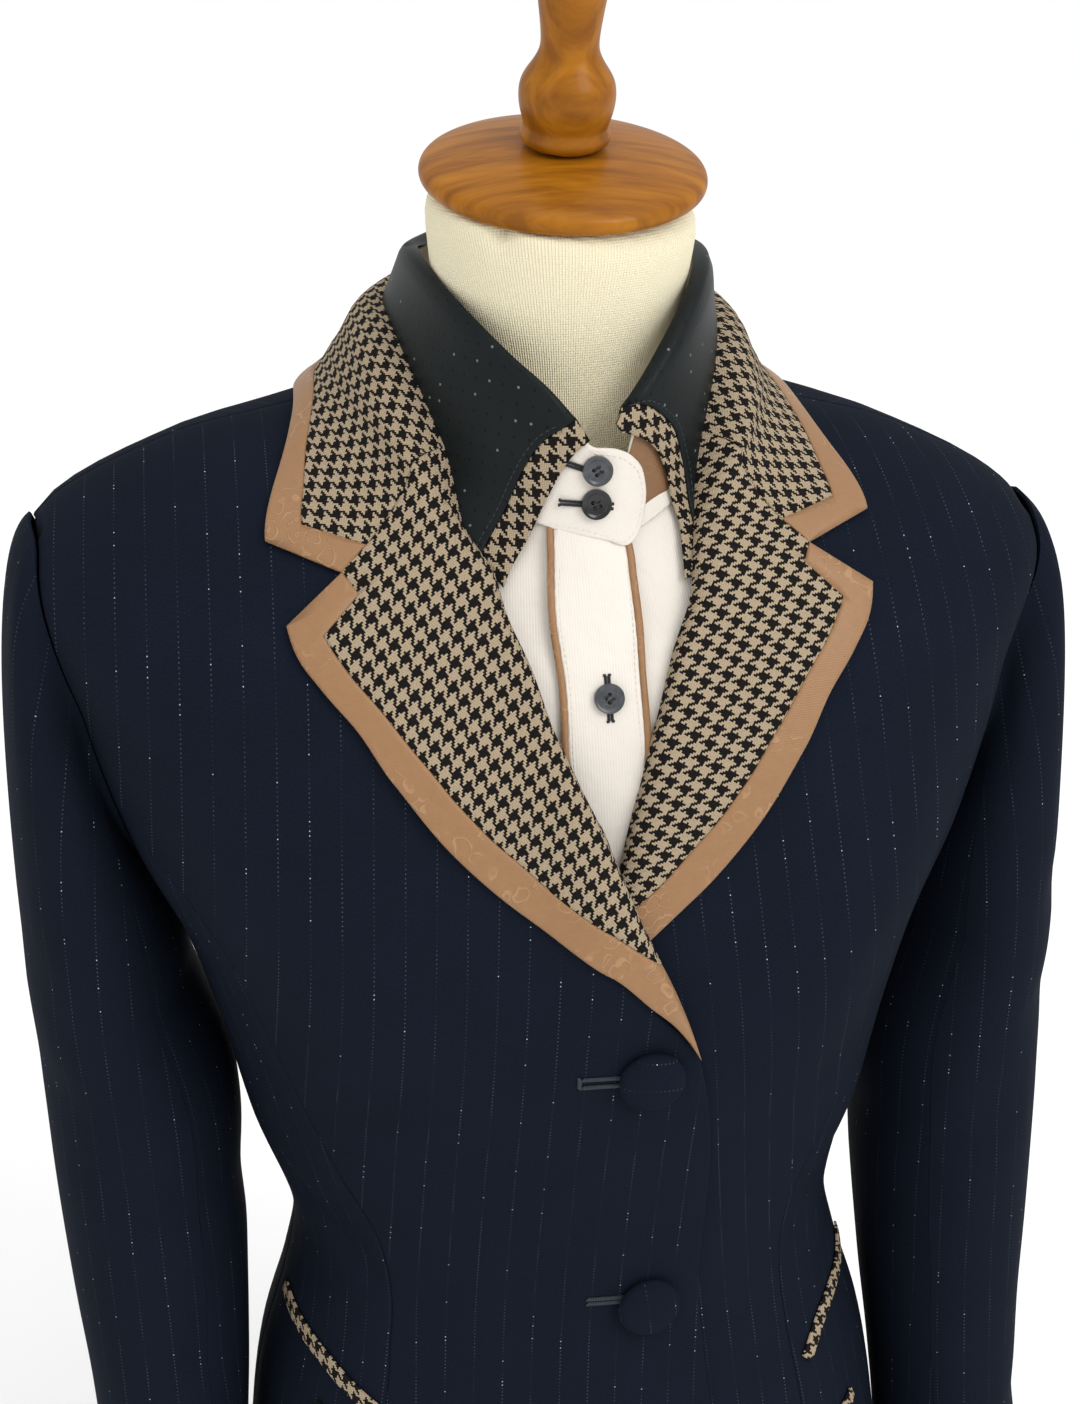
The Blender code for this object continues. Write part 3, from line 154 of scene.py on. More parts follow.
# Pocket trims on the side fronts, from the side seam to the front: girth and level
RIGHT_UPPER_TRIM = ((82.5, -38.0), (71.3, -43.0), (57.5, -50.0), (49.0, -56.5), (42.0, -62.0))
LEFT_UPPER_TRIM = ((79.5, -37.0), (71.8, -41.6), (59.2, -46.5), (51.2, -52.6), (43.3, -64.0))
RIGHT_LOWER_TRIM = ((57.5, -72.0), (51.0, -77.0), (44.0, -84.0))
LEFT_LOWER_TRIM = ((57.5, -98.0), (51.0, -103.0), (44.0, -110.0))
TRIM_WIDTH = 7.0

# Armhole of the sleeveless shirt, cut a little deeper than the jacket's
SHIRT_ARMHOLE_FRONT = ((262, 90.0), (252, 74.0), (235, 66.0), (215, 63.5), (191, 65.5),
                       (172, 74.0), (158, 90.0))
SHIRT_ARMHOLE_BACK = ((158, 90.0), (171, 105.0), (188, 113.0), (207, 116.0), (230, 114.0),
                      (250, 105.0), (262, 90.0))

# Shirt: girth and level, right over left, with the collar's end on the wearer's left
SHIRT_NECK_RIGHT = ((90.0, 322.0), (45.0, 322.0), (20.0, 326.0))
SHIRT_NECK_LEFT = ((16.0, 323.0), (22.0, 326.5), (32.0, 325.0), (45.0, 322.0), (90.0, 322.0))
SHIRT_NECK_CENTRE = (3.5, 325.0)
STAND_END = ((-14.0, 323.0), (-3.0, 322.5), (6.0, 319.5), (13.5, 315.6), (18.4, 320.5),
             (20.0, 327.0), (18.6, 334.5), (14.5, 342.0), (8.0, 349.0), (-2.0, 354.5),
             (-16.0, 356.5))
STAND_UNDERLAP = (-342.0, -348.0)
STAND_TOP_LEVEL = 356.5
STAND_LAP = 1.5
LEAF_FRONT_RIGHT = ((-7.0, 361.0), (-11.5, 355.0), (-16.9, 347.5), (-21.8, 335.8), (-24.9, 325.0),
                    (-26.3, 313.1), (-25.0, 306.5))
LEAF_UNDER_RIGHT = ((-25.0, 306.5), (-36.0, 309.5), (-45.0, 315.0), (-62.0, 322.0), (-90.0, 326.0),
                    (-135.0, 327.0), (-180.0, 327.0))
LEAF_FRONT_LEFT = ((7.1, 358.5), (10.0, 361.3), (17.6, 356.8), (26.2, 345.6), (32.9, 333.0),
                   (36.0, 320.7), (32.5, 312.0), (27.3, 304.8), (22.1, 298.4))
LEAF_UNDER_LEFT = ((22.1, 298.4), (33.0, 304.0), (45.0, 313.5), (62.0, 322.0), (90.0, 326.0),
                   (135.0, 327.0), (180.0, 327.0))
LEAF_ROLL_LEVEL = 364.5
INLAY_RIGHT = ((-2.0, 356.2), (-5.0, 352.0), (-8.3, 346.6), (-12.5, 335.5), (-16.4, 322.1),
               (-17.6, 307.0), (-16.5, 302.0))
INLAY_LEFT = ((9.5, 353.8), (18.2, 345.0), (25.3, 334.0), (29.2, 323.5), (29.0, 313.5),
              (24.9, 306.8), (19.8, 299.1))

# Shirt buttons: girth and level, and their sizes in mm: the disc, the flat rim and the dish
# inside it, each with its depth, the holes and their distance from the middle
STAND_BUTTONS = ((1.2, 345.2), (1.6, 333.2))
PLACKET_BUTTON = (1.8, 270.5)
BUTTON_RADIUS = 5.6
BUTTON_THICKNESS = 2.0
BUTTON_RIM = (1.3, 0.25)
BUTTON_DISH = (0.4, 0.35)
BUTTON_ROUNDING = 0.28
HOLE_RADIUS = 0.75
HOLE_PLACE = 1.05
PLACKET_EDGES = (-11.6, 17.4)
PIPING_WIDTH = 2.5
PLACKET_AIR = 1.1

# Sleeve sections below the sleeve head: height above the waist, centre across and in depth,
# half sizes across and in depth
SLEEVE_SECTIONS = (
    (112, 189, 6, 32.5, 62),
    (60, 180.5, 4, 39, 60),
    (20, 179.5, 1, 39, 58),
    (-40, 179, -6, 36, 54),
    (-80, 178.5, -12, 33, 51),
    (-120, 179.5, -18, 30.5, 48.5),
    (-190, 182, -29, 30, 45),
    (-SLEEVE_DROP, 182, -40, 29.5, 42),
)
SLEEVE_SIDES = 72
SLEEVE_HEAD_STEPS = 30
SLEEVE_ROWS = 90
SLEEVE_HEAD_REACH = 10.0
UNDER_SLEEVE_HALF_ANGLE = 60.0

# How finely the cloth is drawn, as a share of the solids' steps
FINENESS = 0.25
# Rounded edge of a cut piece: distances from its edge and drops, as shares of its thickness
EDGE_ROLL = ((0.0, 0.3), (0.25, 0.08), (0.8, 0.0))

# Soft creases of the jacket's body: the two ends as girth and level, width and height in mm
BODY_FOLDS = (
    (-44, -14, -68, 26, 9, -1.6), (-46, 0, -72, 44, 10, -1.3),
    (46, -12, 70, 22, 9, -1.6), (48, 4, 76, 40, 10, -1.2),
    (-20, 60, -44, 92, 12, -1.3), (24, 66, 46, 96, 12, -1.2),
    (-24, -16, -46, -22, 10, -1.4), (2, -18, -18, -34, 11, -1.0),
    (26, -22, 44, -30, 10, -1.3), (64, 196, 54, 152, 11, -1.5),
    (-64, 196, -52, 150, 11, -1.5), (150, -8, 120, 4, 12, -1.5), (210, -6, 240, 6, 12, -1.4),
    (170, 12, 150, 22, 12, -1.2), (186, 24, 214, 14, 12, -1.3), (118, 190, 134, 140, 13, -1.5),
    (-118, 190, -136, 146, 13, -1.4), (176, 286, 150, 270, 14, -1.0),
    (10, -60, 6, -150, 16, 1.2), (-30, -50, -34, -170, 16, -1.3), (70, -100, 66, -200, 18, 1.6),
    (-74, -110, -70, -200, 18, 1.5), (120, -110, 124, -205, 20, 1.6),
    (-124, -100, -120, -205, 20, 1.5), (178, -90, 180, -205, 20, -1.6),
)
SHIRT_FOLDS = (
    (-14, 300, -4, 285, 4, -0.7), (14, 300, 6, 282, 5, -0.6), (-8, 316, 4, 306, 3, -0.5),
    (-10, 262, -2, 248, 5, -0.5), (8, 240, 0, 214, 6, 0.5), (2, 200, 6, 178, 6, -0.5),
)
SLEEVE_FOLDS = (
    (60, 40, 120, 10, 16, -2.2), (-30, 30, -100, 4, 16, -2.0), (20, 80, 70, 66, 14, -1.4),
    (80, -40, 140, -66, 16, -2.0), (-60, -30, -130, -60, 15, -1.8), (0, -120, 60, -136, 14, -1.2),
    (150, 20, 200, 0, 15, -2.0), (-20, 130, -60, 108, 14, -1.6), (30, 136, 66, 112, 14, -1.6),
    (-90, -130, -140, -150, 14, -1.4),
)
# Cloth styles that differ: angle of the grain, lean of the stripes as seen from the front,
# extra rings of points inside the edge, folds and what a piece lies on
STYLES = {
    "pocket_trim_upper_right": {"on": "jacket_side_front_right_cloth"},
    "pocket_trim_upper_left": {"on": "jacket_side_front_left_cloth"},
    "pocket_trim_lower_right": {"on": "jacket_side_front_right_cloth"},
    "pocket_trim_lower_left": {"on": "jacket_side_front_left_cloth"},
    "collar_inlay_left": {"on": "shirt_collar_leaf_cloth"},
    "collar_inlay_right": {"on": "shirt_collar_leaf_cloth"},
    "lapel_right": {"grain": 56.0, "rings": (2.6, 3.6, 4.8)},
    "lapel_left": {"grain": 121.5, "rings": (2.6, 3.6, 4.8)},
    "lapel_band_right": {"rings": (2.6, 3.6, 4.8)},
    "collar_fall": {"grain": 90.0, "rings": (2.6, 3.6, 4.8)},
    "shirt_collar_leaf": {"rings": (1.6, 2.4)},
    "jacket_front_right": {"grain": -5.0, "lean": -0.06},
    "jacket_front_left": {"grain": 5.0, "lean": 0.09},
    "stand_facing": {"on": "shirt_collar_stand_cloth"},
    "shirt_front_left": {"folds": SHIRT_FOLDS}, "shirt_front_right": {"folds": SHIRT_FOLDS},
    "shirt_placket": {"folds": SHIRT_FOLDS},
    "placket_piping_left": {"folds": SHIRT_FOLDS, "on": "shirt_placket_cloth"},
    "placket_piping_right": {"folds": SHIRT_FOLDS, "on": "shirt_placket_cloth"},
}
LIGHTS = (
    ("Key", (1.7, -2.3, 2.3), (1.6, 1.6), 42.0),
    ("Fill", (-2.4, -1.8, 1.6), (2.0, 2.0), 10.0),
)
JACKET_BUTTONHOLES = {
    "top": (((-11.6, 113.8), (8.0, 112.8)), ((-11.6, 110.2), (8.0, 109.4)),
            ((-12.6, 114.6), (-12.6, 109.4))),
    "low": (((-7.8, -1.8), (9.5, -3.0)), ((-7.8, -4.2), (9.5, -5.2))),
}
# Corded buttonholes: the cord's width, the air below it, and the pitch, slant and bead of its
# twist as shares of the width
CORD_WIDTH = 1.9
CORD_AIR = 0.35
CORD_PITCH = 0.55
CORD_SLANT = (0.62, 0.78)
CORD_BEAD = (1.4, 0.62)
# Shirt buttonholes: middle (girth) and length on the stand, length on the placket, and width
STAND_HOLES = ((-3.2, 18.0), (-1.6, 19.0))
PLACKET_HOLE = 16.5
HOLE_WIDTH = 2.2
# Stitches: length, width and pitch; a button's threads: length and width
STITCHES = {"stand": (1.6, 0.36, 2.4), "placket": (1.6, 0.34, 2.4), "leaf": (1.9, 0.35, 2.6)}
BUTTON_THREAD = (2.9, 0.45)
# Camera of the photograph: its place in metres, and its yaw, pitch and roll in radians
CAMERA_PLACE = (-0.1347, -0.8788, 0.8958)
CAMERA_TURN = (0.14875, 0.372, -0.02469)
LIGHTS_AIM = (0.0, -0.02, 0.55)


def smooth(at, known, values):
    """Catmull-Rom curve through values at known places, also where these are uneven."""
    known = np.asarray(known, float)
    values = np.asarray(values, float)
    step = np.diff(known)
    shape = (-1,) + (1,) * (values.ndim - 1)
    step_wide = step.reshape(shape)
    slope = np.diff(values, axis=0) / step_wide
    tangent = np.empty_like(values)
    tangent[0] = slope[0]
    tangent[-1] = slope[-1]
    tangent[1:-1] = ((slope[:-1] * step_wide[1:] + slope[1:] * step_wide[:-1])
                     / (step_wide[1:] + step_wide[:-1]))
    at = np.asarray(at, float)
    piece = np.clip(np.searchsorted(known, at, side="right") - 1, 0, len(known) - 2)
    share = ((at - known[piece]) / step[piece])
    wide = share.reshape(share.shape + (1,) * (values.ndim - 1))
    length = step[piece].reshape(wide.shape)
    return ((2 * wide ** 3 - 3 * wide ** 2 + 1) * values[piece]
            + (wide ** 3 - 2 * wide ** 2 + wide) * length * tangent[piece]
            + (3 * wide ** 2 - 2 * wide ** 3) * values[piece + 1]
            + (wide ** 3 - wide ** 2) * length * tangent[piece + 1])


def ease(value):
    """Smooth step from 0 to 1."""
    value = np.clip(value, 0.0, 1.0)
    return value * value * (3 - 2 * value)


SECTION_TABLE = np.array(SECTIONS, float)


def body_point(girth, level, inset=0.0):
    """Point of the worn shape; inset draws it in towards the body for the layers below."""
    girth, level = np.broadcast_arrays(np.asarray(girth, float), np.asarray(level, float))
    row = smooth(level, SECTION_TABLE[:, 0], SECTION_TABLE[:, 1:])
    front, side, back, half_width, front_depth, side_depth, back_depth, square, rise, top = (
        row[..., index] for index in range(10))
    top = np.clip(top, 0, 1)
    turn = np.radians(girth)
    sine, cosine = np.sin(turn), np.cos(turn)
    forward = cosine > 0
    out = np.sign(sine) * np.abs(sine) ** (2 / square)
    ahead = np.abs(cosine) ** (2 / square)
    level_inset = inset * (1 - 0.55 * top)
    across = (half_width - level_inset) * out
    depth = side_depth + np.where(forward, front_depth + level_inset - side_depth,
                                  back_depth - level_inset - side_depth) * ahead
    sideways = np.abs(sine) ** rise
    height = side * sideways + np.where(forward, front, back) * (1 - sideways) - inset * top
    bust = (np.exp(-((level - BUST["level"]) / BUST["height"]) ** 2)
            * np.exp(-((np.abs(girth) - BUST["girth"]) / BUST["spread"]) ** 2)
            * BUST["fullness"])
    across = across + 0.5 * bust * out
    depth = depth - bust * np.maximum(cosine, 0)
    worn_high = ease((height - 250) / 100)
    across = across + BODY_SHIFT * (1 - worn_high)
    across = across + NECK_LEAN * ease((level - 290) / 75)
    height = height - SHOULDER_TILT * across * sine ** 4 * ease((level - 225) / 30)
    return np.stack([across, depth, height], axis=-1)


def body_normal(girth, level, inset=0.0):
    """Outward direction of the worn shape."""
    round_body = body_point(girth + 0.5, level, inset) - body_point(girth - 0.5, level, inset)
    up_body = body_point(girth, level + 1, inset) - body_point(girth, level - 1, inset)
    normal = np.cross(round_body, up_body)
    return normal / np.linalg.norm(normal, axis=-1, keepdims=True)


def place_on_front(across, up):
    """Girth and level of the front point that lies at these distances seen from the front."""
    girth = math.degrees(math.asin(max(-0.95, min(0.95, across / 200))))
    level = float(up)
    goal = np.array([across, up], float)
    for _ in range(30):
        here = body_point(girth, level)[[0, 2]]
        by_girth = (body_point(girth + 0.1, level)[[0, 2]] - here) / 0.1
        by_level = (body_point(girth, level + 0.1)[[0, 2]] - here) / 0.1
        move = np.linalg.solve(np.stack([by_girth, by_level], axis=1), goal - here)
        move = np.clip(move, -8, 8)
        girth += move[0]
        level += move[1]
    return girth, level


def front_line(rows, side=1):
    """Places on the front, from rows of across and up; side -1 is the wearer's right."""
    return [place_on_front(across * side, up) for across, up in rows]


def seam(rows, step, side=1, inset=0.0):
    """Smooth line through rows of girth and level, cut into pieces of about one step."""
    rows = np.array([(girth * side, level) for girth, level in rows], float)
    scale = np.array([2.2, 1.0])
    run = np.concatenate([[0], np.cumsum(np.linalg.norm(np.diff(rows * scale, axis=0), axis=1))])
    fine = smooth(np.linspace(0, run[-1], 60 * len(rows)), run, rows)
    points = body_point(fine[:, 0], fine[:, 1], inset)
    length = np.concatenate([[0], np.cumsum(np.linalg.norm(np.diff(points, axis=0), axis=1))])
    count = max(1, int(round(length[-1] / (step * FINENESS))))
    at = np.linspace(0, length[-1], count + 1)
    return np.stack([np.interp(at, length, fine[:, 0]), np.interp(at, length, fine[:, 1])], axis=1)


def flip(rows):
    """Rows of level and girth as rows of girth and level."""
    return [(girth, level) for level, girth in rows]


def outline(*lines):
    """One closed outline from lines that follow each other; shared corners are kept once."""
    corners = []
    for line in lines:
        for corner in line:
            corner = (float(corner[0]), float(corner[1]))
            if not corners or math.dist(corner, corners[-1]) > 1e-6:
                corners.append(corner)
    if math.dist(corners[0], corners[-1]) < 1e-6:
        corners.pop()
    return np.array(corners)


def inside(points, polygon):
    """Whether each point lies inside the polygon."""
    found = np.zeros(len(points), bool)
    following = np.roll(polygon, -1, axis=0)
    for start, end in zip(polygon, following):
        crosses = (start[1] > points[:, 1]) != (end[1] > points[:, 1])
        rise = end[1] - start[1]
        where = start[0] + (points[:, 1] - start[1]) * (end[0] - start[0]) / (rise if rise else 1)
        found ^= crosses & (points[:, 0] < where)
    return found


def edge_distance(points, polygon):
    """Distance of each point from the polygon's edges."""
    nearest = np.full(len(points), 1e9)
    following = np.roll(polygon, -1, axis=0)
    for start, end in zip(polygon, following):
        along = end - start
        share = np.clip(((points - start) @ along) / max(along @ along, 1e-12), 0, 1)
        foot = start + share[:, None] * along
        nearest = np.minimum(nearest, np.linalg.norm(points - foot, axis=1))
    return nearest


def overlap_lift(girth, level):
    """The wearer's right front climbs over the left front, and over the left lapel's end."""
    point = body_point(girth, level)
    over_front = 3.1 * ease((point[..., 0] + 42) / 34)
    over_lapel = 4.5 * ease((point[..., 0] + 26) / 24) * ease((point[..., 2] - 122) / 30)
    return over_front + over_lapel - JACKET_CLOTH


def lapel_gap(level):
    """Air under the lapels, more where they roll at the neck."""
    return 0.9 + 1.4 * ease((level - 285) / 25) + 1.7 * np.exp(-((level - 228) / 24) ** 2)


def collar_lift(girth, level):
    """The collar's fall bridges the corner between the neck and the shoulder."""
    table = np.array(COLLAR_STAND_OFF, float)
    return smooth(np.clip(level, table[0, 0], table[-1, 0]), table[:, 0], table[:, 1])


def mirror(edge):
    """The same outline on the other side of the body."""
    return np.stack([-edge[:, 0], edge[:, 1]], axis=1)


def settings():
    return bpy.context.scene.suit_cloth


def worn(points):
    """Points of the worn shape, in millimetres, as places in the scene, in metres."""
    shift = np.array([SIDE_SHIFT, FORWARD_SHIFT, WAIST_HEIGHT])
    return (np.asarray(points, float) + shift) * MM


def to_linear(code):
    """An sRGB hex colour as linear red, green and blue."""
    values = [int(code[index:index + 2], 16) / 255 for index in (1, 3, 5)]
    return tuple(value / 12.92 if value <= 0.04045 else ((value + 0.055) / 1.055) ** 2.4
                 for value in values) + (1.0,)


def new_object(name, points, faces, uvs=None, sharp=42.0):
    """Smooth object from points in metres; uvs is a place on the cloth for each point, in mm."""
    mesh = bpy.data.meshes.new(name)
    mesh.from_pydata(np.asarray(points, float).tolist(), [], [list(face) for face in faces])
    mesh.validate()
    if uvs is not None:
        layer = mesh.uv_layers.new(name="weave")
        corners = np.empty(len(mesh.loops), int)
        mesh.loops.foreach_get("vertex_index", corners)
        layer.data.foreach_set("uv", np.asarray(uvs, float)[corners].ravel())
    item = bpy.data.objects.new(name, mesh)
    bpy.context.scene.collection.objects.link(item)
    mesh.shade_smooth()
    mesh.set_sharp_from_angle(angle=math.radians(sharp))
    return item


def dress(item, cloth, node=None):
    """Gives a piece its finish and its place on the frame."""
    slot, build, *values = FINISHES[cloth]
    material = bpy.data.materials.get(cloth) or build(cloth, *values)
    item.data.materials.clear()
    item.data.materials.append(material)
    if node:
        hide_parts(node)
    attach(item, "root")
    return item


def lay_flat(points, faces, grain=0.0):
    """Flat pattern of a cloth piece, in mm, unrolled and turned so that the grain runs up."""
    mesh = bpy.data.meshes.new("pattern")
    mesh.from_pydata(points.tolist(), [], [list(face) for face in faces])
    item = bpy.data.objects.new("pattern", mesh)
    bpy.context.scene.collection.objects.link(item)
    pick(item)
    mesh.uv_layers.new(name="weave")
    bpy.ops.object.mode_set(mode="EDIT")
    bpy.ops.mesh.select_all(action="SELECT")
    bpy.ops.uv.unwrap(method="ANGLE_BASED", margin=0.0)
    bpy.ops.object.mode_set(mode="OBJECT")
    loops = np.empty(len(mesh.loops) * 2)
    mesh.uv_layers[0].data.foreach_get("uv", loops)
    corners = np.empty(len(mesh.loops), int)
    mesh.loops.foreach_get("vertex_index", corners)
    flat = np.zeros((len(points), 2))
    flat[corners] = loops.reshape(-1, 2)
    bpy.data.objects.remove(item)
    bpy.data.meshes.remove(mesh)
    first, second, third = (np.array([face[index] for face in faces]) for index in (0, 1, 2))
    side, rise = points[second] - points[first], points[third] - points[first]
    flat_side, flat_rise = flat[second] - flat[first], flat[third] - flat[first]
    area = np.linalg.norm(np.cross(side, rise), axis=1)
    flat_area = flat_side[:, 0] * flat_rise[:, 1] - flat_side[:, 1] * flat_rise[:, 0]
    if flat_area.sum() < 0:
        flat[:, 0] *= -1
        flat_side[:, 0] *= -1
        flat_rise[:, 0] *= -1
    flat *= math.sqrt(area.sum() / abs(flat_area.sum()))
    # Share of each triangle's sides that points straight up, and where that lies in the flat
    table = np.stack([np.stack([np.sum(side * side, 1), np.sum(side * rise, 1)], 1),
                      np.stack([np.sum(side * rise, 1), np.sum(rise * rise, 1)], 1)], 1)
    high = np.stack([side[:, 2], rise[:, 2]], axis=1)
    good = area > 1e-4
    shares = np.linalg.solve(table[good], high[good][..., None])[..., 0]
    upward = shares[:, :1] * flat_side[good] + shares[:, 1:] * flat_rise[good]
    upward = (upward * area[good][:, None]).sum(axis=0)
    turn = math.atan2(upward[0], upward[1]) + math.radians(grain)
    flat = flat @ np.array([[math.cos(turn), math.sin(turn)], [-math.sin(turn), math.cos(turn)]])
    return flat - flat.mean(axis=0)


def folds(rows, girth, level, reach=2.2):
    """Height of soft troughs and ridges; reach is the width of one degree in millimetres."""
    height = np.zeros(np.shape(girth))
    for girth_a, level_a, girth_b, level_b, width, high in rows:
        run = np.array([(girth_b - girth_a) * reach, level_b - level_a])
        round_body = (girth - girth_a + 180) % 360 - 180
        place = np.stack([round_body * reach, level - level_a], axis=-1)
        share = np.clip(place @ run / (run @ run), 0, 1)
        away = np.linalg.norm(place - share[..., None] * run, axis=-1)
        height += high * np.exp(-(away / width) ** 2) * (0.35 + 0.65 * np.sin(math.pi * share))
    return height


def remember_cut(points, faces, places, rim):
    """Works out the cut of a cloth piece: its area and the sides of its flat pattern, which are
    not kept.
    """
    corners = np.asarray(points, float)[np.array([face[:3] for face in faces])] * MM
    area = float(np.sum(np.linalg.norm(np.cross(corners[:, 1] - corners[:, 0],
                                                corners[:, 2] - corners[:, 0]), axis=1)) / 2)
    best = None
    for turn in np.radians(np.arange(0, 90, 2.5)):
        spun = places @ np.array([[math.cos(turn), -math.sin(turn)],
                                  [math.sin(turn), math.cos(turn)]]) * MM
        sides = spun.max(axis=0) - spun.min(axis=0)
        if best is None or sides[0] * sides[1] < best[0] * best[1]:
            best = sides
    width, length = sorted(float(side) for side in best)
    if area < 0.34 * width * length:
        half = rim * MM / 2
        length = (half + math.sqrt(max(half * half - 4 * area, 0))) / 2
        width = area / length


def offset_ring(edge, base, normal, jacobian, distance):
    """Places a little inside an outline, each set in square to the edge."""
    ahead = np.roll(base, -1, axis=0) - base
    behind = base - np.roll(base, 1, axis=0)
    ahead /= np.linalg.norm(ahead, axis=1, keepdims=True)
    behind /= np.linalg.norm(behind, axis=1, keepdims=True)
    inward_ahead = np.cross(normal, ahead)
    inward = inward_ahead + np.cross(normal, behind)
    inward /= np.linalg.norm(inward, axis=1, keepdims=True)
    mitre = np.clip(1 / np.maximum(np.sum(inward * inward_ahead, axis=1), 0.4), 1, 2.5)
    shift = inward * (distance * mitre)[:, None]
    turned_round = jacobian.transpose(0, 2, 1)
    return edge + np.linalg.solve(turned_round @ jacobian,
                                  turned_round @ shift[..., None])[..., 0]


def panel(name, edge, cloth, lift, thick=JACKET_CLOTH, step=22.0, inset=0.0):
    """Cloth panel with rounded edges over the part of the body inside an outline."""
    step = step * FINENESS
    style = STYLES.get(name, {})
    middle = edge.mean(axis=0)
    wide = np.linalg.norm(body_point(middle[0] + 2, middle[1], inset)
                          - body_point(middle[0] - 2, middle[1], inset)) / 4
    low, high = edge[:, 1].min(), edge[:, 1].max()
    tall = max(1.0, np.linalg.norm(body_point(middle[0], high, inset)
                                   - body_point(middle[0], low, inset)) / max(high - low, 1e-6))
    scale = np.array([wide, min(tall, 2.2)])
    turned_area = np.sum(edge[:, 0] * np.roll(edge[:, 1], -1)
                         - np.roll(edge[:, 0], -1) * edge[:, 1])
    if turned_area < 0:
        edge = edge[::-1]
    border = edge * scale
    base = body_point(edge[:, 0], edge[:, 1], inset)
    normal = body_normal(edge[:, 0], edge[:, 1], inset)
    by_girth = body_point(edge[:, 0] + 0.5, edge[:, 1], inset) - base
    by_level = body_point(edge[:, 0], edge[:, 1] + 0.5, inset) - base
    jacobian = np.stack([by_girth, by_level], axis=2) / 0.5
    points = [border]
    soft = [np.full(len(border), EDGE_ROLL[0][1])]
    rings = [(distance * thick, drop, 0.4) for distance, drop in EDGE_ROLL[1:]]
    rings += [(distance, 0.0, 0.85) for distance in style.get("rings", ())]
    for distance, drop, least in rings:
        ring = offset_ring(edge, base, normal, jacobian, distance) * scale
        ring = ring[inside(ring, border)]
        ring = ring[edge_distance(ring, border) > least * distance]
        points.append(ring)
        soft.append(np.full(len(ring), drop))
    columns = int((border[:, 0].max() - border[:, 0].min()) / step) + 2
    rows = int((border[:, 1].max() - border[:, 1].min()) / (step * 0.87)) + 2
    start = border.min(axis=0)
    row, column = np.mgrid[0:rows, 0:columns]
    grid = np.stack([start[0] + (column + 0.5 * (row % 2)) * step, start[1] + row * step * 0.87],
                    axis=-1).reshape(-1, 2)
    grid = grid[inside(grid, border)]
    grid = grid[edge_distance(grid, border) > rings[-1][0] + 0.45 * step]
    points.append(grid)
    soft.append(np.zeros(len(grid)))
    flat = np.concatenate(points)
    soft = np.concatenate(soft)
    count = len(border)
    result = delaunay_2d_cdt([tuple(corner) for corner in flat], [], [list(range(count))], 1, 1e-5)
    flat = np.array([tuple(corner) for corner in result[0]])
    triangles = np.array([list(face) for face in result[2]])
    source = result[3]
    drop = np.array([soft[origins[0]] if origins else 0.0 for origins in source])
    place = flat / scale
    ring = [0] * count
    for index, origins in enumerate(source):
        for origin in origins:
            if origin < count:
                ring[origin] = index
    girth, level = place[:, 0], place[:, 1]
    base = body_point(girth, level, inset)
    normal = body_normal(girth, level, inset)
    height = lift(girth, level) if callable(lift) else np.full(len(place), float(lift))
    height = height + folds(style.get("folds", BODY_FOLDS if inset == 0 else ()), girth, level)
    inner = base + normal * height[:, None]
    outer = inner + normal * (thick * (1 - drop))[:, None]
    inner += normal * (thick * 0.5 * drop)[:, None]
    first, second, third = (flat[triangles[:, index]] for index in range(3))
    turn = ((second[:, 0] - first[:, 0]) * (third[:, 1] - first[:, 1])
            - (third[:, 0] - first[:, 0]) * (second[:, 1] - first[:, 1]))
    triangles[turn < 0] = triangles[turn < 0][:, ::-1]
    total = len(place)
    faces = triangles.tolist() + (triangles[:, ::-1] + total).tolist()
    for here, there in zip(ring, ring[1:] + ring[:1]):
        faces.append((here, here + total, there + total, there))
    uvs = lay_flat(outer, triangles.tolist(), style.get("grain", 0.0))
    drawn = uvs.copy()
    if "lean" in style:
        # The fronts are pressed to shape, so their stripes run straight as seen from the front
        drawn[:, 0] = outer[:, 0] + style["lean"] * outer[:, 2]
    item = new_object(name + "_cloth", worn(np.concatenate([outer, inner])), faces,
                      np.concatenate([drawn, drawn]), 60.0)
    dress(item, cloth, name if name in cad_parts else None)
    rim = float(np.sum(np.linalg.norm(outer[ring] - np.roll(outer[ring], -1, axis=0), axis=1)))
    remember_cut(outer, triangles, uvs, rim)
    return item


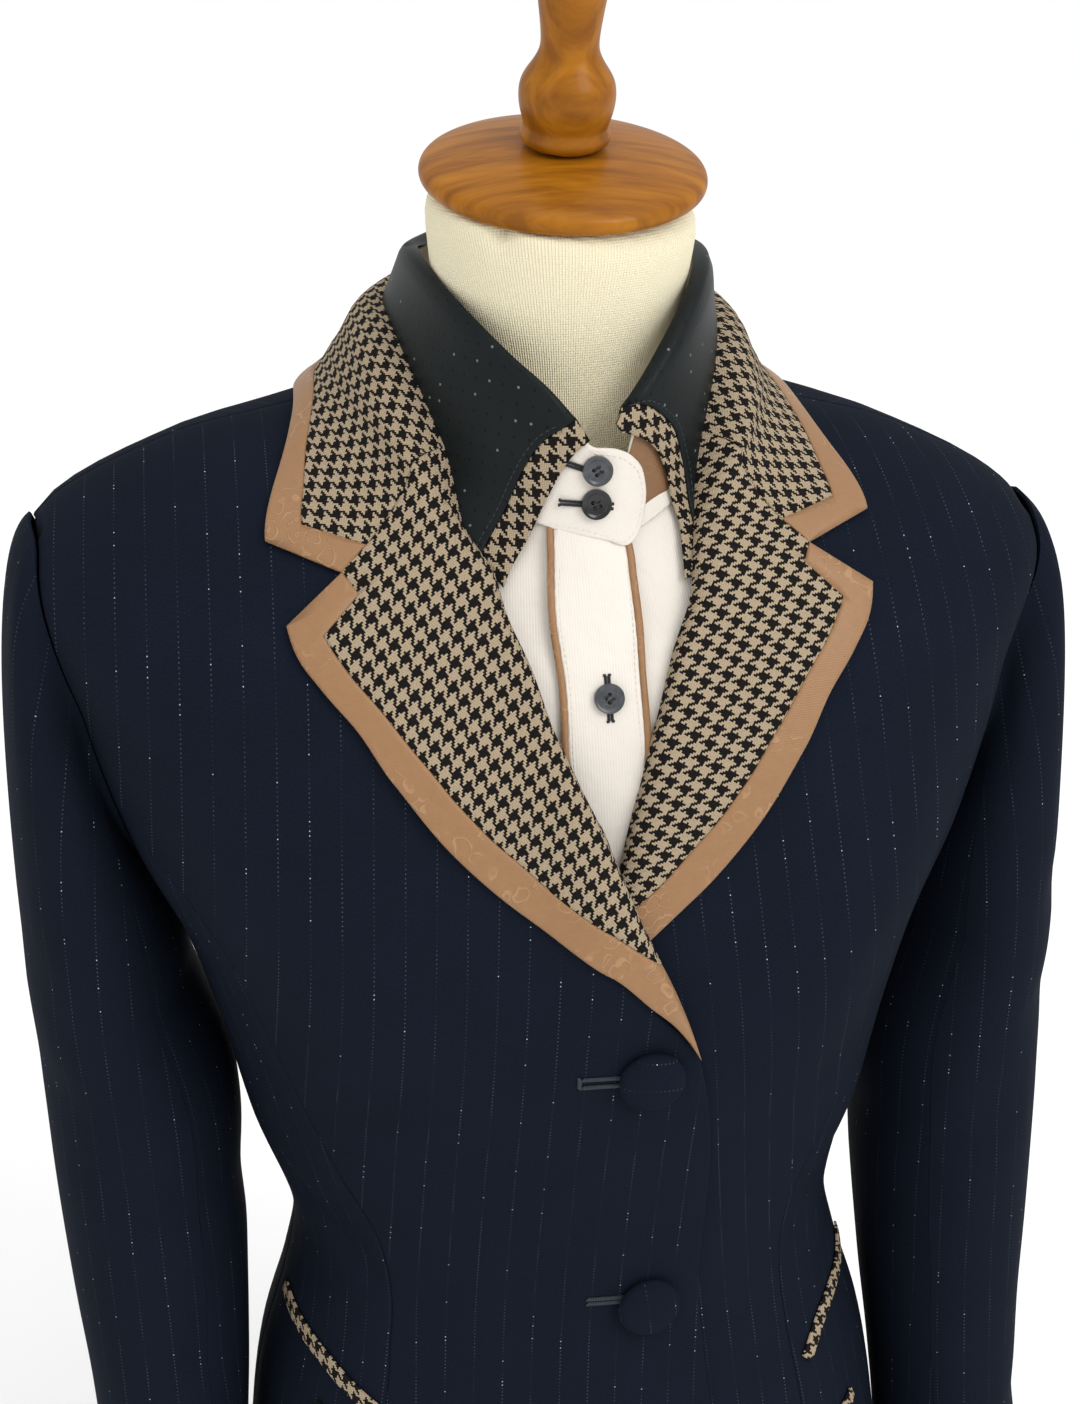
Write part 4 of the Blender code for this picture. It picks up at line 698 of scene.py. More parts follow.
def grid_wall(name, sheet, cloth, thick):
    """Wall on the inner side of a grid of points, rows by columns, with all its edges closed."""
    sheet = np.asarray(sheet, float)
    normal = np.cross(np.gradient(sheet, axis=1), np.gradient(sheet, axis=0))
    normal /= np.linalg.norm(normal, axis=-1, keepdims=True)
    rows, columns = sheet.shape[:2]
    drop = np.zeros((rows, columns))
    for index, amount in enumerate((EDGE_ROLL[0][1], 0.4 * EDGE_ROLL[0][1])):
        drop[:, [index, -1 - index]] = np.maximum(drop[:, [index, -1 - index]], amount)
        drop[[index, -1 - index]] = np.maximum(drop[[index, -1 - index]], amount)
    inner = sheet - normal * thick
    outer = sheet - normal * (thick * drop)[..., None]
    total = rows * columns
    faces = []
    for row in range(rows - 1):
        for column in range(columns - 1):
            first = row * columns + column
            square = (first, first + 1, first + columns + 1, first + columns)
            faces.append(square)
            faces.append(tuple(corner + total for corner in square[::-1]))
    outside = faces[::2]
    border = ([column for column in range(columns)]
              + [row * columns + columns - 1 for row in range(1, rows)]
              + [(rows - 1) * columns + column for column in range(columns - 2, -1, -1)]
              + [row * columns for row in range(rows - 2, 0, -1)])
    for here, there in zip(border, border[1:] + border[:1]):
        faces.append((here, here + total, there + total, there))
    uvs = lay_flat(sheet.reshape(-1, 3), outside)
    points = np.concatenate([outer.reshape(-1, 3), inner.reshape(-1, 3)])
    item = new_object(name + "_cloth", worn(points), faces, np.concatenate([uvs, uvs]))
    dress(item, cloth, name)
    rim = outer.reshape(-1, 3)[border]
    rim = float(np.sum(np.linalg.norm(rim - np.roll(rim, -1, axis=0), axis=1)))
    halves = [corners for face in outside for corners in (face[:3], (face[0], face[2], face[3]))]
    remember_cut(outer.reshape(-1, 3), halves, uvs, rim)
    return item


def add_fronts(navy):
    """Fronts and side fronts of the jacket, and its back panels."""
    step = 20.0
    for word, side in (("right", -1), ("left", 1)):
        at_side, at_princess, at_back = (
            girth * side for girth in (SIDE_GIRTH, SIDE_BACK_GIRTH, BACK_GIRTH))
        princess = seam(flip(FRONT_PRINCESS), step, side)
        roll_rows = front_line(RIGHT_ROLL if side < 0 else LEFT_ROLL)
        neck_start = (41.0 * side, NECK_LEVEL)
        roll = seam([neck_start] + drawn_back(roll_rows, side), step * 0.8)
        edge_rows = [place_on_front(*spot) for spot in FRONT_EDGE[side]]
        front_edge = seam([roll_rows[-1]] + edge_rows, step)
        hem = seam([edge_rows[-1], (40.0 * side, HEM_LEVEL)], step)
        upper_armhole = armhole_part(side, "front", FRONT_PRINCESS[-1][0], SHOULDER_LEVEL)
        shoulder = seam([(at_side, level) for level in (SHOULDER_LEVEL, 285, NECK_LEVEL)], step)
        neckline = seam([(at_side, NECK_LEVEL), (62.0 * side, NECK_LEVEL), neck_start], step)
        edge = outline(roll, front_edge, hem, princess, upper_armhole[::-1], shoulder, neckline)
        panel("jacket_front_" + word, edge, navy,
              overlap_lift if side < 0 else -JACKET_CLOTH, step=step)
        side_hem = seam([(40.0 * side, HEM_LEVEL), (at_side, HEM_LEVEL)], step)
        side_seam = seam([(at_side, level) for level in (HEM_LEVEL, -100, 0, UNDERARM_LEVEL)],
                         step)
        lower_armhole = armhole_part(side, "front", UNDERARM_LEVEL, FRONT_PRINCESS[-1][0])
        edge = outline(side_hem, side_seam, lower_armhole[::-1], princess[::-1])
        panel("jacket_side_front_" + word, edge, navy, -JACKET_CLOTH, step=step)
        back_princess = seam(flip(BACK_PRINCESS), 26.0, side)
        side_back_hem = seam([(at_side, HEM_LEVEL), (at_princess, HEM_LEVEL)], 26.0)
        back_low = armhole_part(side, "back", UNDERARM_LEVEL, 207)
        edge = outline(side_back_hem, back_princess, back_low, side_seam[::-1])
        panel("jacket_side_back_" + word, edge, navy, -JACKET_CLOTH, step=24.0)
        back_hem = seam([(at_princess, HEM_LEVEL), (at_back, HEM_LEVEL)], 26.0)
        centre_back = seam([(at_back, level) for level in (HEM_LEVEL, 0, 200, NECK_LEVEL)], 26.0)
        back_neck = seam([(at_back, NECK_LEVEL), (135.0 * side, NECK_LEVEL),
                          (at_side, NECK_LEVEL)], step)
        back_high = armhole_part(side, "back", 207, SHOULDER_LEVEL)
        edge = outline(back_hem, centre_back, back_neck, shoulder[::-1], back_high,
                       back_princess[::-1])
        panel("jacket_back_" + word, edge, navy, -JACKET_CLOTH, step=26.0)


def armhole_loop(side, inset=0.0):
    """Places round the armhole, one for each side of the sleeve, from the shoulder tip."""
    front = seam(flip(ARMHOLE_FRONT), 1.0, side, inset)
    back = seam(flip(ARMHOLE_BACK), 1.0, side, inset)
    half = SLEEVE_SIDES // 2
    picked = [front[int(round(at))] for at in np.linspace(0, len(front) - 1, half + 1)]
    picked += [back[int(round(at))] for at in np.linspace(0, len(back) - 1, half + 1)][1:-1]
    return np.array(picked)


def armhole_part(side, face, low, high):
    """The stretch of the armhole between two levels, on the front or the back, going down."""
    loop = armhole_loop(side)
    half = SLEEVE_SIDES // 2
    if face == "front":
        stretch = loop[:half + 1]
    else:
        stretch = np.concatenate([loop[half:], loop[:1]])[::-1]
    table = ARMHOLE_FRONT if face == "front" else ARMHOLE_BACK
    ends = {level: (girth * side, float(level)) for level, girth in table}
    kept = [tuple(row) for row in stretch if low + 1.5 < row[1] < high - 0.8]
    return np.array([ends[high]] + kept + [ends[low]])


def sleeve_surface(side):
    """Grid of points over the whole sleeve: rows down the arm, columns round it."""
    loop = armhole_loop(side)
    points = body_point(loop[:, 0], loop[:, 1])
    normal = body_normal(loop[:, 0], loop[:, 1])
    angles = np.radians(np.arange(SLEEVE_SIDES) * 360.0 / SLEEVE_SIDES)
    start = points + normal * 0.1
    table = np.array(SLEEVE_SECTIONS, float)
    height, across, depth, half_across, half_depth = table[0]
    goal = np.stack([BODY_SHIFT + side * (across + half_across * np.cos(angles)),
                     depth - half_depth * np.sin(angles),
                     np.full(SLEEVE_SIDES, height)], axis=1)
    outwards = np.array([side, 0.0, 0.0])
    fall = start[:, 2] - height
    reach = SLEEVE_HEAD_REACH * (0.95 + 0.55 * np.maximum(np.cos(angles), 0))
    droop = 0.02 * fall + 0.45 * reach * np.maximum(np.cos(angles), 0)
    first_pull = (start + outwards * reach[:, None] - np.outer(droop, (0, 0, 1))
                  + normal * 2.0 * np.abs(np.sin(angles))[:, None])
    second_pull = goal + np.outer(np.maximum(0.62 * fall, 10.0), (0, 0, 1))
    rows = []
    for share in np.linspace(0, 1, SLEEVE_HEAD_STEPS + 1):
        back = 1 - share
        rows.append(back ** 3 * start + 3 * back ** 2 * share * first_pull
                    + 3 * back * share ** 2 * second_pull + share ** 3 * goal)
    heights = np.linspace(table[0, 0], table[-1, 0], SLEEVE_ROWS)[1:]
    for level in heights:
        _, across, depth, half_across, half_depth = smooth(-level, -table[:, 0], table)
        rows.append(np.stack([BODY_SHIFT + side * (across + half_across * np.cos(angles)),
                              depth - half_depth * np.sin(angles),
                              np.full(SLEEVE_SIDES, level)], axis=1))
    rows = np.array(rows)
    outward = np.cross(np.roll(rows, -1, axis=1) - np.roll(rows, 1, axis=1),
                       np.gradient(rows, axis=0)) * side
    outward /= np.linalg.norm(outward, axis=-1, keepdims=True)
    turn = np.broadcast_to(np.degrees(angles), rows.shape[:2])
    calm = ease(np.linalg.norm(rows - rows[0], axis=-1) / 25)
    return rows + outward * (calm * folds(SLEEVE_FOLDS, turn, rows[..., 2], 0.75))[..., None]


def add_sleeves(navy):
    """Each sleeve is cut as an upper and an under sleeve."""
    half = SLEEVE_SIDES // 2
    under = int(round(UNDER_SLEEVE_HALF_ANGLE / 360 * SLEEVE_SIDES))
    for word, side in (("right", -1), ("left", 1)):
        surface = sleeve_surface(side)
        spans = {"jacket_sleeve_upper_": (-(half - under), half - under),
                 "jacket_sleeve_under_": (half - under, half + under)}
        for stem, (first, last) in spans.items():
            columns = [column % SLEEVE_SIDES for column in range(first, last + 1)]
            sheet = surface[:, columns].copy()
            if side > 0:
                sheet = sheet[:, ::-1]
            grid_wall(stem + word, sheet, navy, JACKET_CLOTH)


def drawn_back(rows, side):
    """The roll line moved a little under the lapel, so that the lapel can fold over it."""
    rows = np.array(rows, float)
    scale = np.array([2.2, 1.0])
    along = np.gradient(rows * scale, axis=0)
    along /= np.linalg.norm(along, axis=1, keepdims=True)
    aside = np.stack([-along[:, 1], along[:, 0]], axis=1) * -side
    amount = 7.0 * np.clip(np.arange(len(rows))[::-1] / 2.0, 0, 1)
    moved = rows * scale - aside * amount[:, None]
    return [tuple(row) for row in moved / scale]


def folded_edge(line, inset, radius=None, depth=4.5, fading=False):
    """How far a cloth turns down close to its fold, like a quarter round."""
    points = body_point(line[:, 0], line[:, 1], inset)

    def drop(girth, level, lift):
        place = body_point(girth, level, inset)
        away = np.full(np.shape(girth), 1e9)
        for start, end in zip(points[:-1], points[1:]):
            along = end - start
            share = np.clip(((place - start) @ along) / max(along @ along, 1e-9), 0, 1)
            away = np.minimum(away, np.linalg.norm(place - start - share[..., None] * along,
                                                   axis=-1))
        reach = radius or 5.0 + 4.0 * ease((level - 285) / 25)
        share = np.clip(1 - away / reach, 0, 1)
        deep = depth(girth) if callable(depth) else depth
        turned_down = (lift + deep) * (1 - np.sqrt(1 - share ** 2))
        if fading:
            turned_down = turned_down * ease(np.linalg.norm(place - points[-1], axis=-1) / 36)
        return turned_down

    return drop


def lapel_rolling_over(roll, side):
    """Lift of a lapel: it meets the collar at the gorge and folds down at its roll."""
    fold = folded_edge(roll, 0.0, fading=True)
    gorge = seam([(girth * side, level) for girth, level in GORGE], 4.0)
    gorge = body_point(gorge[:, 0], gorge[:, 1])

    def lift(girth, level):
        height = lapel_gap(level)
        place = body_point(girth, level)
        away = np.min(np.linalg.norm(place[..., None, :] - gorge, axis=-1), axis=-1)
        height = height + (collar_lift(girth, level) - height) * ease(1 - away / 30.0)
        height = height - fold(girth, level, height)
        if side < 0:
            height = height + overlap_lift(girth, level) + JACKET_CLOTH
        return height

    return lift


def add_lapels(check, brocade):
    """Check lapels with a brocade band along the notch and the outer edge."""
    step = 12.0
    gorge = seam(GORGE, step)
    for word, side in (("right", -1), ("left", 1)):
        roll_rows = front_line(RIGHT_ROLL if side < 0 else LEFT_ROLL)
        top = GORGE[-1]
        roll = seam([(top[0] * side, top[1]), (36.0 * side, NECK_LEVEL - 0.5)] + roll_rows, step)
        end_rows = list(LAPEL_OUTER) + (list(RIGHT_LAPEL_END) if side < 0 else [(3, 160)])
        outer = seam(front_line([LAPEL_TIP] + end_rows, side)
                     + ([roll_rows[-1]] if side < 0 else []), step)
        inner_rows = list(BAND_INNER) + (list(RIGHT_BAND_END) if side < 0 else [(-1, 173)])
        inner = seam(front_line([BAND_CORNER] + inner_rows, side), step)
        notch = (GORGE[0][0] * side, GORGE[0][1])
        tip = place_on_front(LAPEL_TIP[0] * side, LAPEL_TIP[1])
        band_top = place_on_front(BAND_TOP[0] * side, BAND_TOP[1])
        corner = place_on_front(BAND_CORNER[0] * side, BAND_CORNER[1])
        gorge_side = gorge if side > 0 else mirror(gorge)
        lift = lapel_rolling_over(roll, side)
        cut = int(np.argmin(np.linalg.norm((roll - inner[-1]) * (2.2, 1), axis=1)))
        upper_roll = np.concatenate([roll[:cut], inner[-1:]])
        edge = outline(gorge_side, upper_roll, inner[::-1], [corner, band_top], [notch])
        panel("lapel_" + word, edge, check, lift, step=step)
        lower_roll = np.concatenate([inner[-1:], roll[cut + 1:]]) if side < 0 else inner[-1:]
        edge = outline([notch], [tip], outer, lower_roll[::-1], inner[::-1], [corner, band_top])
        panel("lapel_band_" + word, edge, brocade, lift, step=step)


def whole_round(rows, step):
    """A half line from the front to the centre back, carried on to the other side."""
    left = seam(rows, step)
    right = np.stack([360 - left[:, 0], left[:, 1]], axis=1)[::-1]
    return np.concatenate([left, right[1:]])


def add_collar(check, brocade):
    """Collar fall, its band and the stand that it folds over."""
    step = 13.0
    notch = np.array(GORGE[0])
    band_inner = whole_round(COLLAR_BAND_INNER, step)
    outer = whole_round(COLLAR_OUTER, step)
    roll = whole_round(COLLAR_ROLL, step)
    gorge = seam(GORGE[1:], step)
    far_gorge = np.stack([360 - gorge[:, 0], gorge[:, 1]], axis=1)
    edge = outline(gorge, roll, far_gorge[::-1], band_inner[::-1])
    fold = folded_edge(roll, 0.0)

    def fall_lift(girth, level):
        return collar_lift(girth, level) - fold(girth, level, collar_lift(girth, level))

    panel("collar_fall", edge, check, fall_lift, step=step)
    far_notch = np.array([360 - notch[0], notch[1]])
    edge = outline([notch], [GORGE[1]], band_inner, [(360 - GORGE[1][0], GORGE[1][1])],
                   [far_notch], outer[::-1])
    panel("collar_band", edge, brocade, collar_lift, step=step)
    seam_line = whole_round(((47.0, NECK_LEVEL + 0.5), (90.0, NECK_LEVEL + 1.5),
                             (180.0, NECK_LEVEL + 1.2)), 18.0)
    top = whole_round(((50.0, 321.0), (70.0, 329.0), (90.0, 333.0), (130.0, 336.0),
                       (180.0, 336.0)), 18.0)
    edge = outline(seam_line, top[::-1])
    panel("collar_stand", edge, check, SEAM_GAP - JACKET_CLOTH, step=16.0)


def add_trims(check):
    """Check strips along the slanted pockets."""
    for word, side in (("right", -1), ("left", 1)):
        upper_trim = RIGHT_UPPER_TRIM if side < 0 else LEFT_UPPER_TRIM
        lower_trim = RIGHT_LOWER_TRIM if side < 0 else LEFT_LOWER_TRIM
        for stem, rows in (("pocket_trim_upper_", upper_trim), ("pocket_trim_lower_", lower_trim)):
            line = seam(rows, 11.0, side)
            points = body_point(line[:, 0], line[:, 1])
            along = np.gradient(points, axis=0)
            along /= np.linalg.norm(along, axis=1, keepdims=True)
            down = np.cross(body_normal(line[:, 0], line[:, 1]), along) * side
            down *= -np.sign(down[:, 2:3])
            lower = []
            for place, shift in zip(line, down * TRIM_WIDTH):
                here = body_point(*place)
                by_girth = body_point(place[0] + 1, place[1]) - here
                by_level = body_point(place[0], place[1] + 1) - here
                base = np.stack([by_girth, by_level], axis=1)
                move = np.linalg.lstsq(base, shift, rcond=None)[0]
                lower.append((place[0] + move[0], place[1] + move[1]))
            panel(stem + word, outline(line, np.array(lower)[::-1]), check, 0.5, 1.4, 12.0)


def shirt_seam(rows, step):
    return seam(rows, step, 1, SHIRT_INSET)


def shirt_lift(girth, level):
    """The shirt lies closer to the body where its collar and the jacket cover it."""
    return -1.7 * ease((level - 275) / 22)


def add_shirt(ivory):
    """Shirt fronts and back."""
    step = 32.0
    low = SHIRT_HEM_LEVEL
    centre = [place_on_front(SHIRT_CENTRE, up) for up in (low, 0, 100, 200, 285)]
    middle = shirt_seam([SHIRT_NECK_CENTRE] + centre[::-1], step)
    for word, side in (("right", -1), ("left", 1)):
        at_side = SIDE_GIRTH * side
        hem = shirt_seam([centre[0], (at_side, low)], step)
        side_seam = shirt_seam([(at_side, level) for level in (low, 0, 158)], step)
        armhole = seam(flip(SHIRT_ARMHOLE_FRONT), step, side, SHIRT_INSET)[::-1]
        shoulder = shirt_seam([(at_side, level) for level in (262, 285, NECK_LEVEL)], 20)
        if side < 0:
            neck = [(-girth, level) for girth, level in SHIRT_NECK_RIGHT] + [SHIRT_NECK_CENTRE]
        else:
            neck = list(SHIRT_NECK_LEFT[::-1]) + [SHIRT_NECK_CENTRE]
        edge = outline(middle, hem, side_seam, armhole, shoulder, shirt_seam(neck, 16))
        panel("shirt_front_" + word, edge, ivory, shirt_lift, SHIRT_CLOTH, step, SHIRT_INSET)
    half = np.concatenate([shirt_seam([(90.0, low), (90.0, 0), (90.0, 158)], step),
                           seam(flip(SHIRT_ARMHOLE_BACK), step, 1, SHIRT_INSET),
                           shirt_seam([(90.0, 262), (90.0, 285),
                                       (90.0, NECK_LEVEL)], 20),
                           shirt_seam([(90.0, NECK_LEVEL), (135.0, NECK_LEVEL),
                                       (180.0, NECK_LEVEL)], 20)])
    other = np.stack([360 - half[:, 0], half[:, 1]], axis=1)[::-1]
    hem = shirt_seam([(270.0, low), (180.0, low), (90.0, low)], step)
    panel("shirt_back", outline(half, other, hem), ivory, shirt_lift, SHIRT_CLOTH, 38.0,
          SHIRT_INSET)


def placket_lift(girth, level):
    """The placket lies on the shirt and slips under the stand at its top."""
    seam_level = np.interp(girth, (-14.0, -3.0, 6.0, 13.5), (323.0, 322.5, 319.5, 315.6))
    return (SHIRT_CLOTH + PLACKET_AIR) - 3.0 * ease((level - seam_level + 4.0) / 6.0)


def add_placket(ivory, brocade):
    """Placket over the shirt's centre, with piping along both of its edges."""
    levels = (SHIRT_HEM_LEVEL, -60.0, 40.0, 120.0, 180.0, 240.0, 280.0)
    tops = {PLACKET_EDGES[0]: (-12.0, 328.0), PLACKET_EDGES[1]: (13.2, 321.0)}
    lines = {}
    for across, top in tops.items():
        inner = [place_on_front(across, level) for level in levels]
        away = math.copysign(PIPING_WIDTH, across)
        outer = [place_on_front(across + away, level) for level in levels]
        outer_top = (top[0] + away * 0.9, top[1] - 0.4)
        lines[across] = (shirt_seam(inner + [top], 24), shirt_seam(outer + [outer_top], 24))
    right, left = lines[PLACKET_EDGES[0]], lines[PLACKET_EDGES[1]]
    neck = shirt_seam([tops[PLACKET_EDGES[0]], (-3.0, 327.5), (6.0, 324.5),
                       tops[PLACKET_EDGES[1]]], 12)
    panel("shirt_placket", outline(right[0], neck, left[0][::-1]), ivory, placket_lift,
          SHIRT_CLOTH, 30.0, SHIRT_INSET)
    for word, (inner, outer) in (("right", right), ("left", left)):
        panel("placket_piping_" + word, outline(inner, outer[::-1]), brocade,
              placket_lift, 1.8, 24.0, SHIRT_INSET)


def stand_lift(girth, level):
    """The stand's right end laps over its left end at the front."""
    return STAND_LAP * ease((girth + 25) / 30)


def leaf_lift(girth, level):
    """The leaf rolls in at its top and is drawn in where the jacket covers it."""
    return -0.05 - 0.65 * ease((326 - level) / 12) - 0.9 * ease((level - 359) / 6)


def leaf_fold_depth(girth):
    """How deep the leaf turns in at its roll, which stands off the neck at the front."""
    return np.interp((girth + 180) % 360 - 180, (-180, -110, -60, -10, 10, 30, 60, 110, 180),
                     (6.0, 6.0, 1.5, 1.0, 2.5, 4.0, 5.0, 6.5, 6.0))


def add_shirt_collar(ivory, satin, check, facing_cloth_painted_shade):
    """Stand and its facing, the leaf, and the check strips along the leaf's front edges."""
    step = 12.0
    end = shirt_seam(STAND_END, 7)
    top = shirt_seam([STAND_END[-1], (-45.0, STAND_TOP_LEVEL), (-180.0, STAND_TOP_LEVEL),
                      (-315.0, STAND_TOP_LEVEL), (STAND_UNDERLAP[0], 355.0)], 15)
    under_end = shirt_seam([(STAND_UNDERLAP[0], 355.0), (STAND_UNDERLAP[1], 338.0),
                            (STAND_UNDERLAP[0], 318.5)], 12)
    seam_line = shirt_seam([(STAND_UNDERLAP[0], 318.5), (-315.0, 317.5), (-180.0, 317.5),
                            (-45.0, 318.5), STAND_END[0]], 15)
    panel("shirt_collar_stand", outline(end, top, under_end, seam_line), ivory, stand_lift,
          SHIRT_CLOTH, 20.0, SHIRT_INSET)
    facing = outline(shirt_seam([(-347.0, 322.0), (-348.0, 338.0), (-342.0, 353.0)], 8),
                     shirt_seam([(-342.0, 353.0), (-318.0, 354.0)], 8),
                     shirt_seam([(-318.0, 354.0), (-318.0, 320.0)], 8))
    # The facing's brocade carries painted shade for the shadow under the leaf
    panel("stand_facing", facing, facing_cloth_painted_shade, SHIRT_CLOTH, FACING_CLOTH, 14.0, SHIRT_INSET)

    def collar_seam(rows, length=step):
        return seam(rows, length, 1, LEAF_INSET)

    right_front = collar_seam(LEAF_FRONT_RIGHT)
    left_front = collar_seam(LEAF_FRONT_LEFT)
    under_right = collar_seam(LEAF_UNDER_RIGHT, 14)
    under_left = collar_seam(LEAF_UNDER_LEFT, 14)[::-1]
    under_left[:, 0] -= 360
    roll = collar_seam([LEAF_FRONT_RIGHT[0], (-14.0, LEAF_ROLL_LEVEL - 1),
                        (-30.0, LEAF_ROLL_LEVEL), (-180.0, LEAF_ROLL_LEVEL),
                        (-330.0, LEAF_ROLL_LEVEL), (-350.0, 361.3)], 12)
    left_turned = left_front[::-1] - (360, 0)
    edge = outline(right_front, under_right, under_left, left_turned, roll[::-1])
    roll_in = folded_edge(roll, LEAF_INSET, 2.6, leaf_fold_depth)

    def rolled(girth, level):
        return leaf_lift(girth, level) - roll_in(girth, level, 0.0)

    panel("shirt_collar_leaf", edge, satin, rolled, SHIRT_CLOTH, 12.0, LEAF_INSET)
    for word, leaf, free in (("right", right_front, INLAY_RIGHT),
                             ("left", left_front, INLAY_LEFT)):
        edge = outline(leaf, collar_seam(free)[::-1])
        panel("collar_inlay_" + word, edge, check,
              lambda girth, level: rolled(girth, level) - 0.5, 1.0, step, LEAF_INSET)


def pick(item):
    """Makes one object the only one chosen."""
    for other in bpy.context.selected_objects:
        other.select_set(False)
    item.select_set(True)
    bpy.context.view_layer.objects.active = item


def smoothed_copy(node, name, cloth, levels=2, sharp=40.0):
    """Copy of a solid, merged, turned to squares and rounded by subdivision."""
    item = bpy.data.objects.new(name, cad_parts[node].data.copy())
    bpy.context.scene.collection.objects.link(item)
    pick(item)
    bpy.ops.object.mode_set(mode="EDIT")
    bpy.ops.mesh.select_all(action="SELECT")
    bpy.ops.mesh.remove_doubles(threshold=0.00001)
    bpy.ops.mesh.tris_convert_to_quads(face_threshold=math.radians(60),
                                       shape_threshold=math.radians(60))
    bpy.ops.object.mode_set(mode="OBJECT")
    soft = item.modifiers.new("Rounding", "SUBSURF")
    soft.levels = levels
    soft.render_levels = levels
    bpy.ops.object.modifier_apply(modifier=soft.name)
    bpy.ops.object.shade_smooth_by_angle(angle=math.radians(sharp))
    return dress(item, cloth, node)


def settle(item):
    """Puts an object's place into its mesh, so that it sits at the origin."""
    pick(item)
    bpy.ops.object.transform_apply(location=True, rotation=True, scale=True)
    return item


def lie_on(place, lift, inset, turn=0.0):
    """Matrix of a spot on the cloth: X runs round the body, Y up it and Z outwards."""
    centre = body_point(place[0], place[1], inset)
    outward = body_normal(place[0], place[1], inset)
    round_body = body_point(place[0] + 0.5, place[1], inset) - body_point(
        place[0] - 0.5, place[1], inset)
    round_body /= np.linalg.norm(round_body)
    upward = np.cross(outward, round_body)
    upward /= np.linalg.norm(upward)
    round_body = np.cross(upward, outward)
    matrix = Matrix([list(row) + [0.0] for row in np.stack([round_body, upward, outward], 1)]
                    + [[0.0, 0.0, 0.0, 1.0]])
    matrix = Matrix.Translation(Vector(worn(centre + outward * lift))) @ matrix
    return matrix @ Matrix.Rotation(turn, 4, "Z")


def unworn(matrix):
    """Axes of a spot on the cloth, and its place in millimetres of the worn shape."""
    shift = np.array([SIDE_SHIFT, FORWARD_SHIFT, WAIST_HEIGHT])
    return np.array(matrix.to_3x3()), np.array(matrix.translation) / MM - shift


def shirt_button(name, node, place, lift, cloth, turn):
    """Four-hole button: a disc with a rounded rim, a sunken face and holes, as turned."""
    bpy.ops.mesh.primitive_cylinder_add(vertices=64, radius=BUTTON_RADIUS * MM,
                                        depth=BUTTON_THICKNESS * MM,
                                        location=(0, 0, BUTTON_THICKNESS / 2 * MM))
    item = bpy.context.active_object
    item.name = name
    pick(item)
    bpy.ops.object.transform_apply(location=True, rotation=True, scale=True)
    bpy.ops.object.mode_set(mode="EDIT")
    mesh = bmesh.from_edit_mesh(item.data)
    for face in mesh.faces:
        face.select = face.normal.z > 0.9
    bmesh.update_edit_mesh(item.data)
    for width, deep in (BUTTON_RIM, BUTTON_DISH):
        bpy.ops.mesh.inset(thickness=width * MM)
        bpy.ops.transform.translate(value=(0, 0, -deep * MM))
    bpy.ops.object.mode_set(mode="OBJECT")
    holes = []
    for across, up in ((-1, -1), (1, -1), (1, 1), (-1, 1)):
        bpy.ops.mesh.primitive_cylinder_add(
            vertices=20, radius=HOLE_RADIUS * MM, depth=3 * BUTTON_THICKNESS * MM,
            location=(across * HOLE_PLACE * MM, up * HOLE_PLACE * MM, 0))
        hole = bpy.context.active_object
        cut = item.modifiers.new("Hole", "BOOLEAN")
        cut.operation = "DIFFERENCE"
        cut.object = hole
        pick(item)
        bpy.ops.object.modifier_apply(modifier=cut.name)
        holes.append(hole)
    for hole in holes:
        bpy.data.objects.remove(hole)
    edge = item.modifiers.new("Rim", "BEVEL")
    edge.width = BUTTON_ROUNDING * MM
    edge.segments = 3
    edge.limit_method = "ANGLE"
    edge.angle_limit = math.radians(40)
    bpy.ops.object.modifier_apply(modifier=edge.name)
    bpy.ops.object.shade_smooth_by_angle(angle=math.radians(35))
    matrix = lie_on(place, lift, SHIRT_INSET, turn)
    item.matrix_world = matrix
    settle(item)
    axes, centre = unworn(matrix)
    spots = [(centre + axes @ (0.0, up, 1.55), axes @ (1.0, 0.0, 0.0), axes @ (0.0, 0.0, 1.0))
             for up in (-1.2, -0.9, 0.9, 1.2)]
    lay_stitches(name + "_thread", BLACK_THREAD, spots, *BUTTON_THREAD)
    return dress(item, cloth, node)


def bead(length, width):
    """Corners and faces of one small stitch: a ball drawn out along X, in millimetres."""
    bpy.ops.mesh.primitive_uv_sphere_add(segments=8, ring_count=5, radius=0.5,
                                         rotation=(0.0, math.pi / 2, 0.0))
    item = settle(bpy.context.active_object)
    corners = np.array([corner.co for corner in item.data.vertices]) * (length, width, width)
    faces = [tuple(face.vertices) for face in item.data.polygons]
    bpy.data.objects.remove(item)
    return corners, faces


def lay_stitches(name, cloth, spots, length, width):
    """Copies of one stitch; each spot is its centre, direction and outward normal."""
    corners, faces = bead(length, width)
    points, all_faces = [], []
    for centre, along, outward in spots:
        along = along / np.linalg.norm(along)
        side = np.cross(outward, along)
        side /= np.linalg.norm(side)
        high = np.cross(along, side)
        start = len(points) * len(corners)
        points.append(centre + corners @ np.stack([along, side, high]))
        all_faces += [tuple(corner + start for corner in face) for face in faces]
    item = new_object(name, worn(np.concatenate(points)), all_faces, sharp=60.0)
    return dress(item, cloth)


